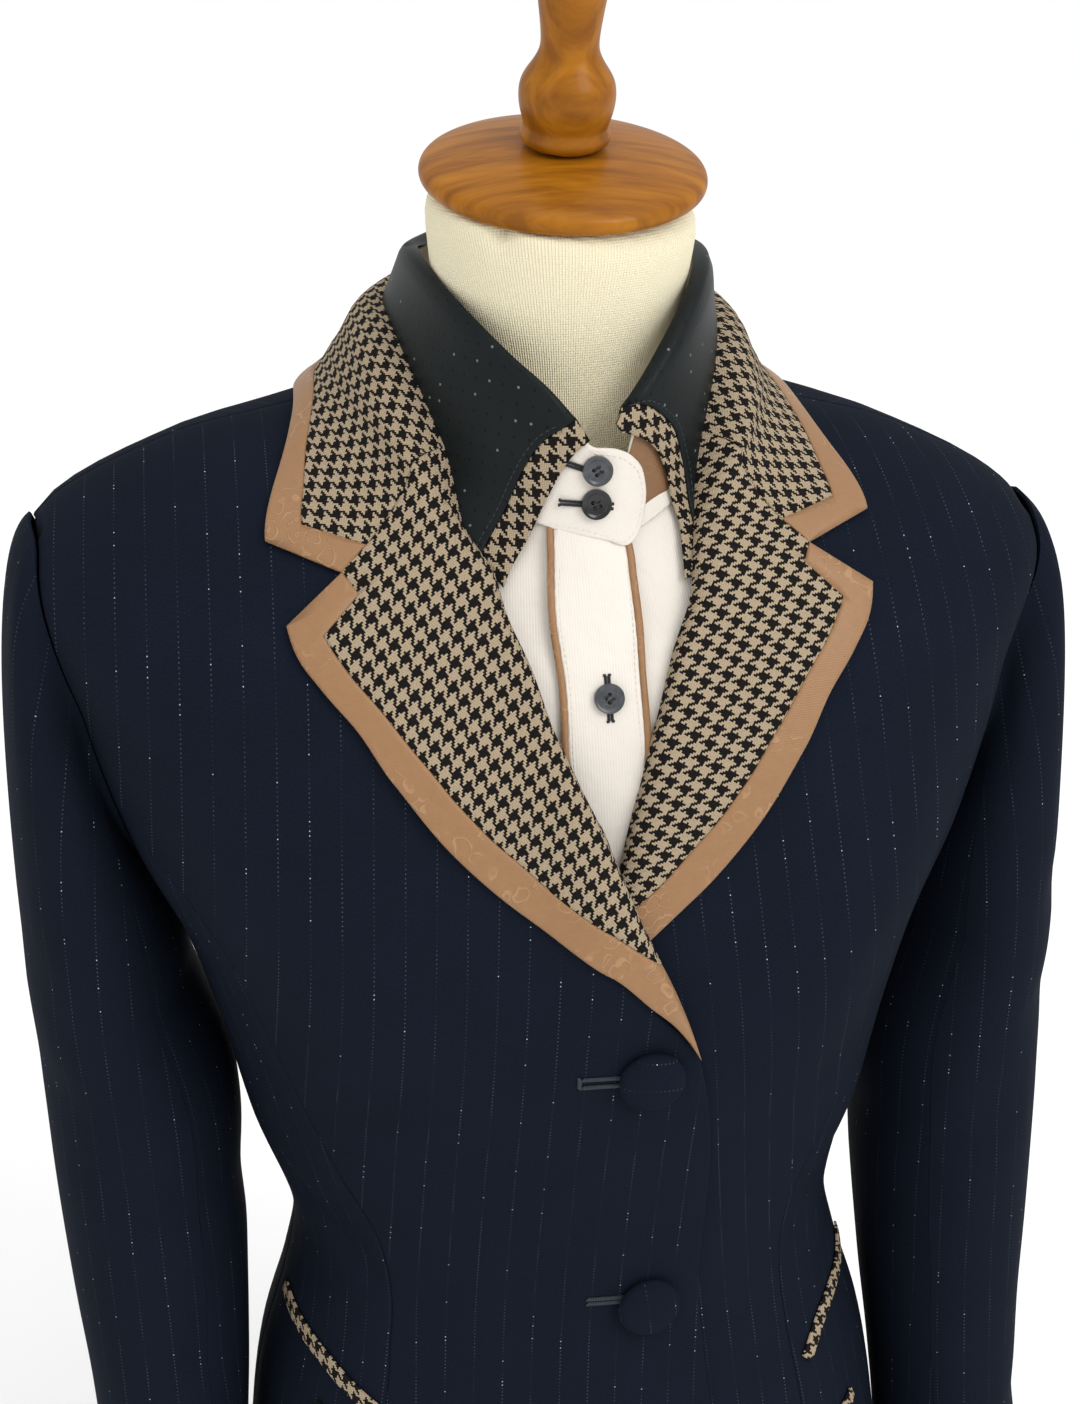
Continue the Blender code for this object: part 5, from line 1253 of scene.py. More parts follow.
def along_line(line, inset, lift, pitch):
    """Evenly spaced places on a line of girth and level: centre, direction, normal."""
    line = np.asarray(line, float)
    at = np.linspace(0, len(line) - 1, 40 * len(line))
    fine = np.stack([np.interp(at, np.arange(len(line)), line[:, axis]) for axis in (0, 1)], 1)
    height = lift(fine[:, 0], fine[:, 1]) if callable(lift) else lift
    points = body_point(fine[:, 0], fine[:, 1], inset)
    normal = body_normal(fine[:, 0], fine[:, 1], inset)
    points = points + normal * np.reshape(height, (-1, 1) if np.ndim(height) else (1, 1))
    run = np.concatenate([[0], np.cumsum(np.linalg.norm(np.diff(points, axis=0), axis=1))])
    places = np.arange(pitch / 2, run[-1], pitch)
    centres = np.stack([np.interp(places, run, points[:, axis]) for axis in range(3)], 1)
    ahead = np.stack([np.interp(places + 0.2, run, points[:, axis]) for axis in range(3)], 1)
    behind = np.stack([np.interp(places - 0.2, run, points[:, axis]) for axis in range(3)], 1)
    outward = np.stack([np.interp(places, run, normal[:, axis]) for axis in range(3)], 1)
    return list(zip(centres, ahead - behind, outward))


def twisted_cord(name, cloth, line, inset, lift, width):
    """Cord of two strands, as slanting beads close together along a line."""
    spots = []
    for centre, along, outward in along_line(line, inset, lift, width * CORD_PITCH):
        along = along / np.linalg.norm(along)
        side = np.cross(outward, along)
        spots.append((centre, along * CORD_SLANT[0] + side * CORD_SLANT[1], outward))
    return lay_stitches(name, cloth, spots, width * CORD_BEAD[0], width * CORD_BEAD[1])


def buttonhole(name, cloth, place, lift, inset, length, width, upright=True):
    """Worked buttonhole: close crosswise stitches along both sides and a bar at each end."""
    matrix = lie_on(place, lift, inset, math.pi / 2 if upright else 0.0)
    turn, centre = unworn(matrix)
    spots = []
    for at in np.arange(-length / 2, length / 2 + 0.01, 0.42):
        for side in (-1, 1):
            spot = centre + turn @ np.array([at, side * width * 0.29, 0.05])
            spots.append((spot, turn @ np.array([0.12, 1.0, 0.0]), turn @ np.array([0, 0, 1.0])))
    for side in (-1, 1):
        for at in (-0.3, 0.0, 0.3):
            for up in (-0.42, 0.42):
                spot = centre + turn @ np.array([side * (length / 2 + 0.3) + at, up * width, 0.15])
                spots.append((spot, turn @ np.array([0.0, 1.0, 0.0]),
                              turn @ np.array([0, 0, 1.0])))
    return lay_stitches(name, cloth, spots, width * 0.62, 0.5)


def add_form():
    smoothed_copy("form_torso", "form_jersey_cover", JERSEY)
    smoothed_copy("form_neck_cap", "neck_cap_wood", WOOD, 3)
    smoothed_copy("form_finial", "finial_wood", WOOD, 3)
    smoothed_copy("form_foot", "foot_wood", WOOD)


def add_covered_buttons():
    """Cloth-covered buttons, whose cloth runs crosswise on the upper one."""
    for node in ("jacket_button_top", "jacket_button_low"):
        item = smoothed_copy(node, node + "_cover", NAVY)
        points = np.empty(len(item.data.vertices) * 3)
        item.data.vertices.foreach_get("co", points)
        points = points.reshape(-1, 3) / MM
        centre = points.mean(axis=0)
        turn = 1.45 if node.endswith("top") else 0.1
        across = (points - centre) @ np.array([math.cos(turn), 0.0, math.sin(turn)])
        along = (points - centre) @ np.array([-math.sin(turn), 0.0, math.cos(turn)])
        layer = item.data.uv_layers.get("weave") or item.data.uv_layers.new(name="weave")
        corners = np.empty(len(item.data.loops), int)
        item.data.loops.foreach_get("vertex_index", corners)
        place = np.stack([across + 6.6, along], axis=1)
        layer.data.foreach_set("uv", place[corners].ravel())
        layer.active = True


def add_shirt_buttons():
    over_stand = STAND_LAP + SHIRT_CLOTH + 0.1
    shirt_button("stand_button_upper_shell", "stand_button_top", STAND_BUTTONS[0], over_stand,
                 SHELL, 0.3)
    shirt_button("stand_button_lower_black", "stand_button_low", STAND_BUTTONS[1], over_stand,
                 BLACK_SHELL, 0.15)
    shirt_button("placket_button_shell", "placket_button", PLACKET_BUTTON,
                 2 * SHIRT_CLOTH + PLACKET_AIR + SEAM_GAP, SHELL, 0.7)


def add_buttonholes():
    """Buttonhole threads of the shirt, and the corded buttonholes of the jacket."""
    def over_front(girth, level):
        return (overlap_lift(girth, level) + JACKET_CLOTH + folds(BODY_FOLDS, girth, level)
                + CORD_AIR)

    over_stand = STAND_LAP + SHIRT_CLOTH
    for word, button, (middle, length) in zip(("upper", "lower"), STAND_BUTTONS, STAND_HOLES):
        buttonhole("stand_buttonhole_" + word, BLACK_THREAD, (middle, button[1]), over_stand,
                   SHIRT_INSET, length, HOLE_WIDTH, upright=False)
    buttonhole("placket_buttonhole", BLACK_THREAD, PLACKET_BUTTON,
               2 * SHIRT_CLOTH + PLACKET_AIR, SHIRT_INSET, PLACKET_HOLE, HOLE_WIDTH)
    for word, lines in JACKET_BUTTONHOLES.items():
        for index, ends in enumerate(lines):
            line = seam(front_line(ends), 2.0)
            twisted_cord("jacket_buttonhole_%s_cord_%d" % (word, index + 1), NAVY_CORD, line, 0.0,
                         over_front, CORD_WIDTH)


def add_stitching():
    """Running stitches of the stand, the placket and the leaf."""
    def over_stand(girth, level):
        return stand_lift(girth, level) + SHIRT_CLOTH + 0.05

    def over_leaf(girth, level):
        return leaf_lift(girth, level) + SHIRT_CLOTH + 0.02

    rim = np.array(STAND_END)
    heart = np.array((0.0, 338.0))
    inner = rim + (heart - rim) / np.linalg.norm((heart - rim) * (1.1, 1), axis=1)[:, None] * 2.0
    length, width, pitch = STITCHES["stand"]
    spots = along_line(seam(inner, 1.0, 1, SHIRT_INSET), SHIRT_INSET, over_stand, pitch)
    lay_stitches("stand_edge_stitches", CREAM_THREAD, spots, length, width)
    length, width, pitch = STITCHES["placket"]
    levels = (SHIRT_HEM_LEVEL, -60.0, 40.0, 120.0, 180.0, 240.0, 280.0, 308.0)
    spots = []
    for across in (PLACKET_EDGES[0] + 1.6, PLACKET_EDGES[1] - 1.6):
        line = seam([place_on_front(across, level) for level in levels], 4.0, 1, SHIRT_INSET)
        spots += along_line(line, SHIRT_INSET, 2 * SHIRT_CLOTH + PLACKET_AIR + 0.05, pitch)
    lay_stitches("placket_stitches", CREAM_THREAD, spots, length, width)
    length, width, pitch = STITCHES["leaf"]
    spots = []
    for rows, shift in ((LEAF_FRONT_RIGHT, -1.6), (LEAF_FRONT_LEFT, 1.6)):
        line = seam([(girth + shift * 1.05, level) for girth, level in rows[1:]], 2.0, 1,
                    LEAF_INSET)
        spots += along_line(line, LEAF_INSET, over_leaf, pitch)
    lay_stitches("leaf_edge_stitches", GREY_THREAD, spots, length, width)


def add_stage():
    """Floor, soft lights and the camera at the photograph's angle."""
    bpy.ops.mesh.primitive_plane_add(size=24.0, location=(0, 0, 0))
    floor = bpy.context.active_object
    floor.name = "studio_floor"
    floor.data.materials.append(white_floor("white_studio_paper"))
    world = bpy.data.worlds.new("Studio")
    bpy.context.scene.world = world
    world.use_nodes = True
    world.node_tree.nodes["Background"].inputs["Color"].default_value = (1.0, 1.0, 1.0, 1.0)
    world.node_tree.nodes["Background"].inputs["Strength"].default_value = (
        bpy.context.scene.suit_stage.sky)
    heart = Vector(LIGHTS_AIM)
    for name, place, size, power in LIGHTS:
        lamp = bpy.data.lights.new(name, "AREA")
        lamp.shape = "RECTANGLE"
        lamp.size, lamp.size_y = size
        lamp.energy = power
        item = bpy.data.objects.new(name, lamp)
        bpy.context.scene.collection.objects.link(item)
        item.location = place
        item.rotation_euler = (heart - Vector(place)).to_track_quat("-Z", "Y").to_euler()
    sun = bpy.data.lights.new("Even top light", "SUN")
    sun.energy = 0.9
    sun.angle = 1.2
    item = bpy.data.objects.new("Even top light", sun)
    bpy.context.scene.collection.objects.link(item)
    item.rotation_euler = (0.25, 0.2, 0.0)
    camera = bpy.data.cameras.new("Photograph")
    camera.sensor_width = 36.0
    camera.lens = bpy.context.scene.suit_stage.lens
    camera.clip_end = 60.0
    item = bpy.data.objects.new("Photograph", camera)
    bpy.context.scene.collection.objects.link(item)
    yaw, pitch, roll = CAMERA_TURN
    forward = Vector((math.sin(yaw) * math.cos(pitch), math.cos(yaw) * math.cos(pitch),
                      -math.sin(pitch)))
    right = Vector((math.cos(yaw), -math.sin(yaw), 0.0))
    high = right.cross(forward)
    right, high = (right * math.cos(roll) + high * math.sin(roll),
                   high * math.cos(roll) - right * math.sin(roll))
    turn = Matrix((right, high, -forward)).transposed()
    item.matrix_world = Matrix.Translation(CAMERA_PLACE) @ turn.to_4x4()
    bpy.context.scene.camera = item
    bpy.context.scene.view_settings.view_transform = "Standard"


def add(tree, kind, sockets=(), out=0, **properties):
    """Adds a node with its properties; sockets get values or other nodes' outputs."""
    node = tree.nodes.new("ShaderNode" + kind)
    for key, value in properties.items():
        setattr(node, key, value)
    for key, value in sockets.items() if isinstance(sockets, dict) else enumerate(sockets):
        if isinstance(value, bpy.types.NodeSocket):
            tree.links.new(value, node.inputs[key])
        else:
            node.inputs[key].default_value = value
    return node.outputs[out] if len(node.outputs) else node


def calc(tree, operation, *values):
    """A sum with one to three values or other nodes' outputs."""
    return add(tree, "Math", values, operation=operation)


def blend(tree, share, low, high):
    """The low colour turning into the high one with the share."""
    return add(tree, "Mix", {0: share, 6: low, 7: high}, out=2, data_type="RGBA")


def cover(tree, sockets):
    """Closes a material with one surface."""
    add(tree, "OutputMaterial", (add(tree, "BsdfPrincipled", sockets),))


def start_tree(name):
    """Empty node tree of a new material."""
    material = bpy.data.materials.new(name)
    material.use_nodes = True
    material.node_tree.nodes.clear()
    return material, material.node_tree


def weave_axes(tree):
    """Distances across and along the cloth, in millimetres, and both as one vector."""
    place = add(tree, "UVMap", uv_map="weave")
    return (add(tree, "SeparateXYZ", (place,)), add(tree, "SeparateXYZ", (place,), out=1), place)


def colour_of(name):
    return tuple(getattr(settings(), name)) + (1.0,)


def navy_wool(name):
    # Worsted wool twill, woven and pressed: it swallows light, shows a very fine grain and
    # faint wandering ribs and, every 11.5 mm, an upright line of loose dots, few of them bright.
    material, tree = start_tree(name)
    across, along, place = weave_axes(tree)
    spacing = settings().stripe_spacing / MM
    column = calc(tree, "DIVIDE", across, spacing)
    number = calc(tree, "FLOOR", column)
    share = calc(tree, "FRACT", column)
    share = calc(tree, "SUBTRACT", share, 0.5)
    share = calc(tree, "ABSOLUTE", share)
    on_line = calc(tree, "LESS_THAN", share, 0.2 / spacing)
    # Real dots are about 0.3 mm across; they are drawn at 0.4 mm so that they show.
    step = calc(tree, "DIVIDE", along, 1.7)
    step = calc(tree, "MULTIPLY_ADD", number, 0.37, step)
    turn = calc(tree, "FLOOR", step)
    cell = add(tree, "CombineXYZ", (number, turn))
    chance = add(tree, "TexWhiteNoise", {"Vector": cell}, noise_dimensions="2D")
    within = calc(tree, "FRACT", step)
    within = calc(tree, "SUBTRACT", within, 0.5)
    within = calc(tree, "ABSOLUTE", within)
    dot = calc(tree, "LESS_THAN", within, 0.13)
    dot = calc(tree, "MULTIPLY", dot, on_line)
    runs = add(tree, "TexNoise", {"Vector": place, "Scale": 0.05, "Detail": 1.0})
    runs = add(tree, "MapRange", {0: runs, 1: 0.42, 2: 0.62, 3: 0.02, 4: 0.13})
    rare = calc(tree, "GREATER_THAN", chance, 0.955)
    shown = calc(tree, "MULTIPLY_ADD", rare, 0.75, runs)
    bright = add(tree, "Math", (dot, shown), operation="MULTIPLY", use_clamp=True)
    cloud = add(tree, "TexNoise", {"Vector": place, "Scale": 0.03, "Detail": 3.0})
    ground = blend(tree, cloud, colour_of("navy"), colour_of("navy_light"))
    fleck = add(tree, "TexNoise", {"Vector": place, "Scale": 1.3, "Detail": 2.0})
    fleck = add(tree, "MapRange", {0: fleck, 1: 0.5, 2: 0.75, 3: 0.0, 4: 0.55})
    ground = blend(tree, fleck, ground, to_linear("#1a202c"))
    colour = blend(tree, bright, ground, to_linear("#b3bac4"))
    # Fine grain, drawn coarser than the real 0.4 mm twill, over ribs of about 2.3 mm
    grain = add(tree, "TexNoise", {"Vector": place, "Scale": 1.1, "Detail": 3.0})
    wander = add(tree, "TexNoise", {"Vector": place, "Scale": 0.05, "Detail": 2.0})
    wander = calc(tree, "MULTIPLY", wander, 9.0)
    rib = calc(tree, "MULTIPLY_ADD", across, 2.73, wander)
    rib = calc(tree, "SINE", rib)
    height = calc(tree, "MULTIPLY_ADD", rib, 0.07, grain)
    normal = add(tree, "Bump", {"Height": height, "Strength": 0.8, "Distance": 0.12 * MM})
    cover(tree, {
        "Base Color": colour, "Normal": normal, "Roughness": 0.85, "Specular IOR Level": 0.04})
    return material


def check_wool(name):
    # Houndstooth, woven in a two-and-two twill from four dark and four tan threads: matt stars
    # with hooked corners, and each thread stands a little proud.
    material, tree = start_tree(name)
    across, along, place = weave_axes(tree)
    thread = settings().check_repeat / MM / 8
    warp, weft = (calc(tree, "DIVIDE", axis, thread)
                  for axis in (across, along))
    warp_count, weft_count = (calc(tree, "FLOOR", axis)
                              for axis in (warp, weft))
    over = calc(tree, "ADD", warp_count, weft_count)
    over = calc(tree, "FLOORED_MODULO", over, 4.0)
    over = calc(tree, "LESS_THAN", over, 1.5)
    warp_dark, weft_dark = (calc(tree, "LESS_THAN", calc(tree, "FLOORED_MODULO", count, 8.0), 3.5)
        for count in (warp_count, weft_count))
    dark = add(tree, "Mix", {0: over, 2: weft_dark, 3: warp_dark})
    mottle = add(tree, "TexNoise", {"Vector": place, "Scale": 0.9, "Detail": 2.0})
    tan = blend(tree, mottle, colour_of("check_tan"), to_linear("#9d8b72"))
    black = blend(tree, mottle, colour_of("check_dark"), to_linear("#1d1a19"))
    colour = blend(tree, dark, tan, black)
    warp_round, weft_round = (
        calc(tree, "ABSOLUTE", calc(tree, "SINE", calc(tree, "MULTIPLY", axis, math.pi)))
        for axis in (warp, weft))
    height = add(tree, "Mix", {0: over, 2: weft_round, 3: warp_round})
    normal = add(tree, "Bump", {"Height": height, "Distance": 0.2 * MM})
    cover(tree, {
        "Base Color": colour, "Normal": normal, "Roughness": 0.85, "Specular IOR Level": 0.1})
    return material


def brocade(name, shade=0.0):
    # Rayon brocade, woven tone on tone: a satin ground with a few raised, slightly lighter
    # curls, so it glints in spots and reads as a warm tan; shade is painted shade that darkens
    # it where a piece lies in shadow.
    material, tree = start_tree(name)
    _, along, place = weave_axes(tree)
    bend = add(tree, "TexNoise", {"Vector": place, "Scale": 0.14, "Detail": 1.0}, out=1)
    moved = add(tree, "VectorMath", (bend, (7.0, 7.0, 0.0), place), operation="MULTIPLY_ADD")
    petals = add(tree, "TexVoronoi", {"Vector": moved, "Scale": 0.11})
    rings = calc(tree, "MULTIPLY", petals, 19.0)
    rings = calc(tree, "SINE", rings)
    scroll = add(tree, "MapRange", {0: rings, 1: 0.55, 2: 0.95})
    patch = add(tree, "TexNoise", {"Vector": place, "Scale": 0.06, "Detail": 0.0})
    patch = add(tree, "MapRange", {0: patch, 1: 0.5, 2: 0.6})
    figure = calc(tree, "MULTIPLY", scroll, patch)
    shown = calc(tree, "MULTIPLY", figure, 0.45)
    ground = blend(tree, shown, colour_of("brocade"), colour_of("brocade_light"))
    cloud = add(tree, "TexNoise", {"Vector": place, "Scale": 0.25, "Detail": 3.0})
    # Painted shade: shade pushes the whole cloth further towards the dark brown
    cloud = calc(tree, "MULTIPLY_ADD", cloud, 0.35, shade)
    colour = blend(tree, cloud, ground, to_linear("#6f4f36"))
    threads = calc(tree, "MULTIPLY", along, 7.0)
    threads = calc(tree, "SINE", threads)
    height = calc(tree, "MULTIPLY_ADD", threads, 0.12, figure)
    normal = add(tree, "Bump", {"Height": height, "Distance": 0.2 * MM})
    cover(tree, {
        "Base Color": colour, "Normal": normal, "Roughness": 0.45, "Specular IOR Level": 0.35,
        "Sheen Weight": 0.1, "Sheen Roughness": 0.4})
    return material


def charcoal_satin(name):
    # Polyester satin, heat-set with pin-dots: a smooth dark ground with broad soft highlights,
    # small darker dots about 9 mm apart and a faint silver one here and there.
    material, tree = start_tree(name)
    across, along, place = weave_axes(tree)
    row = calc(tree, "DIVIDE", along, 4.6)
    row_number = calc(tree, "FLOOR", row)
    odd = calc(tree, "FLOORED_MODULO", row_number, 2.0)
    odd = calc(tree, "MULTIPLY", odd, 0.5)
    shifted = calc(tree, "MULTIPLY_ADD", across, 1 / 9.2, odd)
    sides = []
    for value, length in ((shifted, 9.2), (row, 4.6)):
        side = calc(tree, "FRACT", value)
        side = calc(tree, "SUBTRACT", side, 0.5)
        sides.append(calc(tree, "MULTIPLY", side, length))
    away = add(tree, "CombineXYZ", sides)
    away = add(tree, "VectorMath", (away,), out=1, operation="LENGTH")
    dot = calc(tree, "LESS_THAN", away, 0.55)
    cell = calc(tree, "FLOOR", shifted)
    cell = add(tree, "CombineXYZ", (cell, row_number))
    chance = add(tree, "TexWhiteNoise", {"Vector": cell}, noise_dimensions="2D")
    silver = calc(tree, "GREATER_THAN", chance, 0.9)
    spot = blend(tree, silver, to_linear("#050606"), to_linear("#666c70"))
    cloud = add(tree, "TexNoise", {"Vector": place, "Scale": 0.06, "Detail": 2.0})
    ground = blend(tree, cloud, colour_of("satin"), to_linear("#171c1d"))
    colour = blend(tree, dot, ground, spot)
    weave = calc(tree, "MULTIPLY", along, 5.5)
    weave = calc(tree, "SINE", weave)
    normal = add(tree, "Bump", {"Height": weave, "Distance": 0.02 * MM})
    cover(tree, {
        "Base Color": colour, "Normal": normal, "Roughness": 0.45, "Specular IOR Level": 0.12})
    return material


def ivory_satin(name):
    # Polyester satin, pressed and a little soft: a warm white that shines broadly, with faint
    # upright threads.
    material, tree = start_tree(name)
    across, _, place = weave_axes(tree)
    cloud = add(tree, "TexNoise", {"Vector": place, "Scale": 0.03, "Detail": 2.0})
    colour = blend(tree, cloud, colour_of("ivory"), to_linear("#d4ccc2"))
    threads = calc(tree, "MULTIPLY", across, 6.0)
    threads = calc(tree, "SINE", threads)
    soft = add(tree, "TexNoise", {"Vector": place, "Scale": 0.12, "Detail": 2.0})
    height = calc(tree, "MULTIPLY_ADD", threads, 0.05, soft)
    normal = add(tree, "Bump", {"Height": height, "Distance": 0.5 * MM})
    cover(tree, {
        "Base Color": colour, "Normal": normal, "Roughness": 0.42, "Specular IOR Level": 0.3,
        "Sheen Weight": 0.05, "Sheen Roughness": 0.3})
    return material


def rib_jersey(name):
    # Cotton rib jersey, knitted and pulled over the form: matt, with upright ribs 1.3 mm wide and
    # painted shade in the valleys between them.
    material, tree = start_tree(name)
    place = add(tree, "TexCoord", out=3)
    centred = add(tree, "VectorMath", (place, (-0.0045, 0.028, 0.0)), operation="ADD")
    across, depth, high = (add(tree, "SeparateXYZ", (centred,), out=axis) for axis in range(3))
    turn = add(tree, "Math", (across, depth), operation="ARCTAN2")
    rib = calc(tree, "MULTIPLY", turn, 240.0)
    rib = calc(tree, "SINE", rib)
    knit = calc(tree, "MULTIPLY", high, 6500.0)
    knit = calc(tree, "SINE", knit)
    height = calc(tree, "MULTIPLY_ADD", knit, 0.3, rib)
    # Painted shade: the colour darkens towards #ebe0bd in the valleys between the ribs
    shade = calc(tree, "MULTIPLY_ADD", rib, 0.3, 0.4)
    colour = blend(tree, shade, to_linear("#ebe0bd"), colour_of("jersey"))
    normal = add(tree, "Bump", {"Height": height, "Distance": 0.17 * MM})
    cover(tree, {
        "Base Color": colour, "Normal": normal, "Roughness": 0.85, "Specular IOR Level": 0.2,
        "Sheen Weight": 0.15, "Sheen Roughness": 0.5})
    return material


def varnished_wood(name):
    # Beech, turned, stained honey brown and varnished: a soft gloss with fine grain lines, and
    # darker where the stain has gathered.
    material, tree = start_tree(name)
    place = add(tree, "TexCoord", out=3)
    stretched = add(tree, "Mapping", {0: place, "Scale": (22.0, 160.0, 60.0),
                                      "Rotation": (0.2, 0.1, 0.15)})
    grain = add(tree, "TexNoise", {"Vector": stretched, "Scale": 1.0, "Detail": 5.0,
                                   "Roughness": 0.6, "Distortion": 0.4})
    lines = add(tree, "MapRange", {0: grain, 1: 0.36, 2: 0.72})
    colour = blend(tree, lines, to_linear("#7d4908"), colour_of("wood"))
    blotch = add(tree, "TexNoise", {"Vector": place, "Scale": 42.0, "Detail": 3.0})
    blotch = add(tree, "MapRange", {0: blotch, 1: 0.55, 2: 0.7, 3: 0.0, 4: 0.3})
    colour = blend(tree, blotch, colour, to_linear("#6b3b06"))
    normal = add(tree, "Bump", {"Height": grain, "Distance": 0.1 * MM})
    cover(tree, {
        "Base Color": colour, "Normal": normal, "Roughness": 0.42, "Specular IOR Level": 0.12,
        "Coat Weight": 0.1, "Coat Roughness": 0.15})
    return material


def cast_polyester(name, dark, light, roughness):
    """Button plastic, clouded between two colours."""
    material, tree = start_tree(name)
    place = add(tree, "TexCoord", out=3)
    cloud = add(tree, "TexNoise", {"Vector": place, "Scale": 200.0, "Detail": 2.0,
                                   "Distortion": 1.5})
    colour = blend(tree, cloud, to_linear(dark), to_linear(light))
    cover(tree, {
        "Base Color": colour, "Roughness": roughness, "Specular IOR Level": 0.5})
    return material


def sewing_thread(name, dark, light):
    """Polyester sewing thread, twisted: a soft gloss, clouded between two colours."""
    material, tree = start_tree(name)
    place = add(tree, "TexCoord", out=3)
    fuzz = add(tree, "TexNoise", {"Vector": place, "Scale": 1400.0, "Detail": 1.0})
    colour = blend(tree, fuzz, to_linear(dark), to_linear(light))
    cover(tree, {
        "Base Color": colour, "Roughness": 0.5, "Specular IOR Level": 0.4})
    return material


def white_floor(name):
    # Matt white studio paper: even and almost shadowless.
    material, tree = start_tree(name)
    place = add(tree, "TexCoord", out=3)
    cloud = add(tree, "TexNoise", {"Vector": place, "Scale": 2.0})
    colour = blend(tree, cloud, to_linear("#fafafa"), to_linear("#f6f6f6"))
    cover(tree, {
        "Base Color": colour, "Roughness": 0.95, "Specular IOR Level": 0.1})
    return material


# Cloth and other finishes: the slot, what builds the material and its own values
NAVY = "navy_pinstripe_wool_twill"
CHECK = "houndstooth_wool_check"
BROCADE = "tan_rayon_brocade"
BROCADE_PAINTED_SHADE = "tan_rayon_brocade_reverse"
SHELL = "grey_polished_shell"
BLACK_SHELL = "black_polished_polyester"
BLACK_THREAD = "black_twisted_thread"
NAVY_CORD = "navy_silk_cord"
CREAM_THREAD = "cream_twisted_thread"
GREY_THREAD = "grey_twisted_thread"
CHARCOAL = "charcoal_pin_dot_satin"
IVORY = "ivory_polyester_satin"
JERSEY = "cream_cotton_rib_jersey"
WOOD = "varnished_honey_beech"
FINISHES = {
    NAVY: ("navy_pinstripe_wool", navy_wool),
    CHECK: ("houndstooth", check_wool),
    BROCADE: ("tan_brocade", brocade),
    # The brocade with painted shade, for the facing in the shadow under the collar leaf: the same
    # weave, duller and darker, with few glints
    BROCADE_PAINTED_SHADE: ("tan_brocade", brocade, 0.5),
    CHARCOAL: ("black_satin", charcoal_satin),
    IVORY: ("ivory_satin", ivory_satin),
    JERSEY: ("cream_jersey", rib_jersey),
    WOOD: ("honey_wood", varnished_wood),
    # Grey mother-of-pearl effect polyester, cast and polished: a satin grey with soft clouds
    SHELL: ("grey_shell", cast_polyester, "#222427", "#4d4f54", 0.25),
    # Black polyester, cast and polished: nearly black with sharp highlights
    BLACK_SHELL: ("black_satin", cast_polyester, "#0a0a0b", "#17171a", 0.14),
    # Black thread, twisted: it shows as small dark beads with a faint gloss
    BLACK_THREAD: ("black_satin", sewing_thread, "#0c0c0e", "#24252a"),
    # Navy silk cord, twisted from two strands: each turn catches a little light
    NAVY_CORD: ("navy_pinstripe_wool", sewing_thread, "#0c1016", "#2a323d"),
    # Cream thread, twisted: it nearly vanishes in the ivory cloth
    CREAM_THREAD: ("ivory_satin", sewing_thread, "#d3c9b8", "#e6dccd"),
    # Grey thread, twisted: a shade lighter than the dark satin
    GREY_THREAD: ("black_satin", sewing_thread, "#1f2426", "#3b4144"),
}


def cloth_colour(name, description, code):
    """A colour setting that starts from an sRGB hex code."""
    return FloatVectorProperty(name=name, description=description, subtype="COLOR",
                               default=to_linear(code)[:3])


class SuitCloth(bpy.types.PropertyGroup):
    """Colours of the cloth and wood, and the real spacings of the woven patterns"""
    navy: cloth_colour("Navy", "Darkest shade of the jacket's wool", "#0f141d")
    navy_light: cloth_colour("Navy, lighter", "Lighter shade of the wool", "#131925")
    check_dark: cloth_colour("Check, dark", "Dark thread of the check", "#0d0b0a")
    check_tan: cloth_colour("Check, tan", "Tan thread of the check", "#ab9b83")
    brocade: cloth_colour("Brocade", "Ground of the band's brocade", "#946e4a")
    brocade_light: cloth_colour("Brocade scrolls", "Raised scrolls", "#b58f68")
    satin: cloth_colour("Leaf satin", "Ground of the shirt collar's leaf", "#101415")
    ivory: cloth_colour("Ivory", "Satin of the shirt", "#ddd6cc")
    jersey: cloth_colour("Jersey", "Cover of the form", "#f5edcf")
    wood: cloth_colour("Wood", "Stain of the form's wood", "#a86b14")
    stripe_spacing: FloatProperty(name="Stripe spacing", description="From stripe to stripe",
                                  default=0.0115, unit="LENGTH", subtype="DISTANCE")
    check_repeat: FloatProperty(name="Check repeat", description="One star and its gap",
                                default=0.0064, unit="LENGTH", subtype="DISTANCE")


class SuitStage(bpy.types.PropertyGroup):
    """Camera and light of the studio"""
    lens: FloatProperty(name="Lens", description="Focal length on a 36 mm sensor",
                        default=59.05, min=10.0, unit="CAMERA")
    sky: FloatProperty(name="Sky", description="Strength of the even white light", default=0.8,
                       min=0.0, subtype="FACTOR")


class SuitPiece:
    """Runs the functions that make its pieces, each with its finishes"""
    def execute(self, context):
        for make, finishes in self.makes:
            make(*finishes)
        return {"FINISHED"}


class SUIT_OT_form(SuitPiece, bpy.types.Operator):
    """Covers the torso in jersey and makes its cap, finial and foot"""
    bl_idname = "suit.form"
    bl_label = "Dress form"
    makes = ((add_form, ()),)


class SUIT_OT_shirt(SuitPiece, bpy.types.Operator):
    """Makes the shirt's fronts and back"""
    bl_idname = "suit.shirt"
    bl_label = "Shirt"
    makes = ((add_shirt, (IVORY,)),)


class SUIT_OT_placket(SuitPiece, bpy.types.Operator):
    """Lays the placket and its piping on the shirt"""
    bl_idname = "suit.placket"
    bl_label = "Placket"
    makes = ((add_placket, (IVORY, BROCADE)),)


class SUIT_OT_shirt_collar(SuitPiece, bpy.types.Operator):
    """Makes the stand and its facing, the leaf and the inlays along its edges"""
    bl_idname = "suit.shirt_collar"
    bl_label = "Shirt collar"
    makes = ((add_shirt_collar, (IVORY, CHARCOAL, CHECK, BROCADE_PAINTED_SHADE)),)


class SUIT_OT_jacket_body(SuitPiece, bpy.types.Operator):
    """Makes the jacket's fronts, sides and backs"""
    bl_idname = "suit.jacket_body"
    bl_label = "Jacket body"
    makes = ((add_fronts, (NAVY,)),)


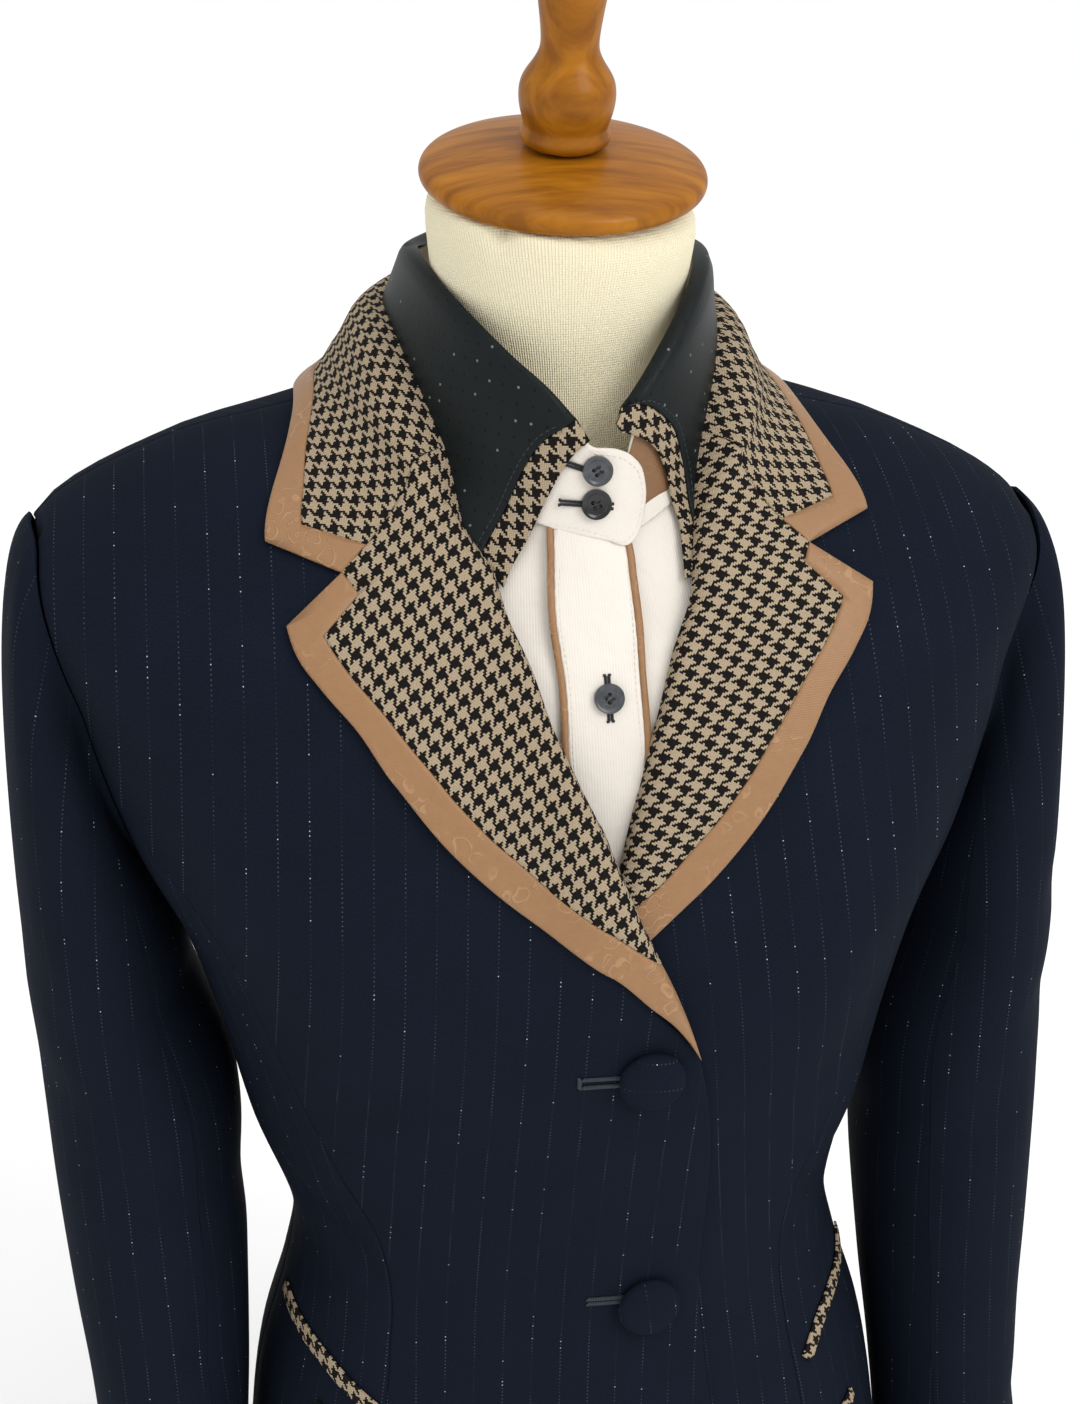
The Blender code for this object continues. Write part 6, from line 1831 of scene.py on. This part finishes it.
class SUIT_OT_sleeves(SuitPiece, bpy.types.Operator):
    """Makes the upper and under sleeves"""
    bl_idname = "suit.sleeves"
    bl_label = "Sleeves"
    makes = ((add_sleeves, (NAVY,)),)


class SUIT_OT_lapels(SuitPiece, bpy.types.Operator):
    """Lays the lapels and their brocade bands on the fronts"""
    bl_idname = "suit.lapels"
    bl_label = "Lapels"
    makes = ((add_lapels, (CHECK, BROCADE)),)


class SUIT_OT_collar(SuitPiece, bpy.types.Operator):
    """Makes the jacket's collar, its band and its stand"""
    bl_idname = "suit.collar"
    bl_label = "Jacket collar"
    makes = ((add_collar, (CHECK, BROCADE)),)


class SUIT_OT_pocket_trims(SuitPiece, bpy.types.Operator):
    """Lays the check trims along the slanted pockets"""
    bl_idname = "suit.pocket_trims"
    bl_label = "Pocket trims"
    makes = ((add_trims, (CHECK,)),)


class SUIT_OT_buttons(SuitPiece, bpy.types.Operator):
    """Makes the shirt's buttons and the jacket's covered buttons"""
    bl_idname = "suit.buttons"
    bl_label = "Buttons"
    makes = ((add_shirt_buttons, ()), (add_covered_buttons, ()))


class SUIT_OT_sewing(SuitPiece, bpy.types.Operator):
    """Works the buttonholes and the running stitches"""
    bl_idname = "suit.sewing"
    bl_label = "Sewing"
    makes = ((add_buttonholes, ()), (add_stitching, ()))


class SUIT_OT_stage(SuitPiece, bpy.types.Operator):
    """Lays the floor and sets the lights and the camera"""
    bl_idname = "suit.stage"
    bl_label = "Stage"
    makes = ((add_stage, ()),)


PIECES = (SUIT_OT_form, SUIT_OT_shirt, SUIT_OT_placket, SUIT_OT_shirt_collar,
          SUIT_OT_jacket_body, SUIT_OT_sleeves, SUIT_OT_lapels, SUIT_OT_collar,
          SUIT_OT_pocket_trims, SUIT_OT_buttons, SUIT_OT_sewing, SUIT_OT_stage)


class SUIT_PT_pieces(bpy.types.Panel):
    """Lists the pieces of the suit and their settings"""
    bl_idname = "SUIT_PT_pieces"
    bl_label = "Suit and dress form"
    bl_space_type = "VIEW_3D"
    bl_region_type = "UI"
    bl_category = "Suit"

    def draw(self, context):
        layout = self.layout
        for group in (context.scene.suit_cloth, context.scene.suit_stage):
            for name in group.__annotations__:
                layout.prop(group, name)
        for piece in PIECES:
            layout.operator(piece.bl_idname)


CLASSES = (SuitCloth, SuitStage) + PIECES + (SUIT_PT_pieces,)


def register():
    for item in CLASSES:
        bpy.utils.register_class(item)
    bpy.types.Scene.suit_cloth = PointerProperty(type=SuitCloth)
    bpy.types.Scene.suit_stage = PointerProperty(type=SuitStage)


def unregister():
    del bpy.types.Scene.suit_stage
    del bpy.types.Scene.suit_cloth
    for item in reversed(CLASSES):
        bpy.utils.unregister_class(item)


def main():
    register()
    for piece in PIECES:
        family, word = piece.bl_idname.split(".")
        getattr(getattr(bpy.ops, family), word)()


if __name__ == "__main__":
    main()
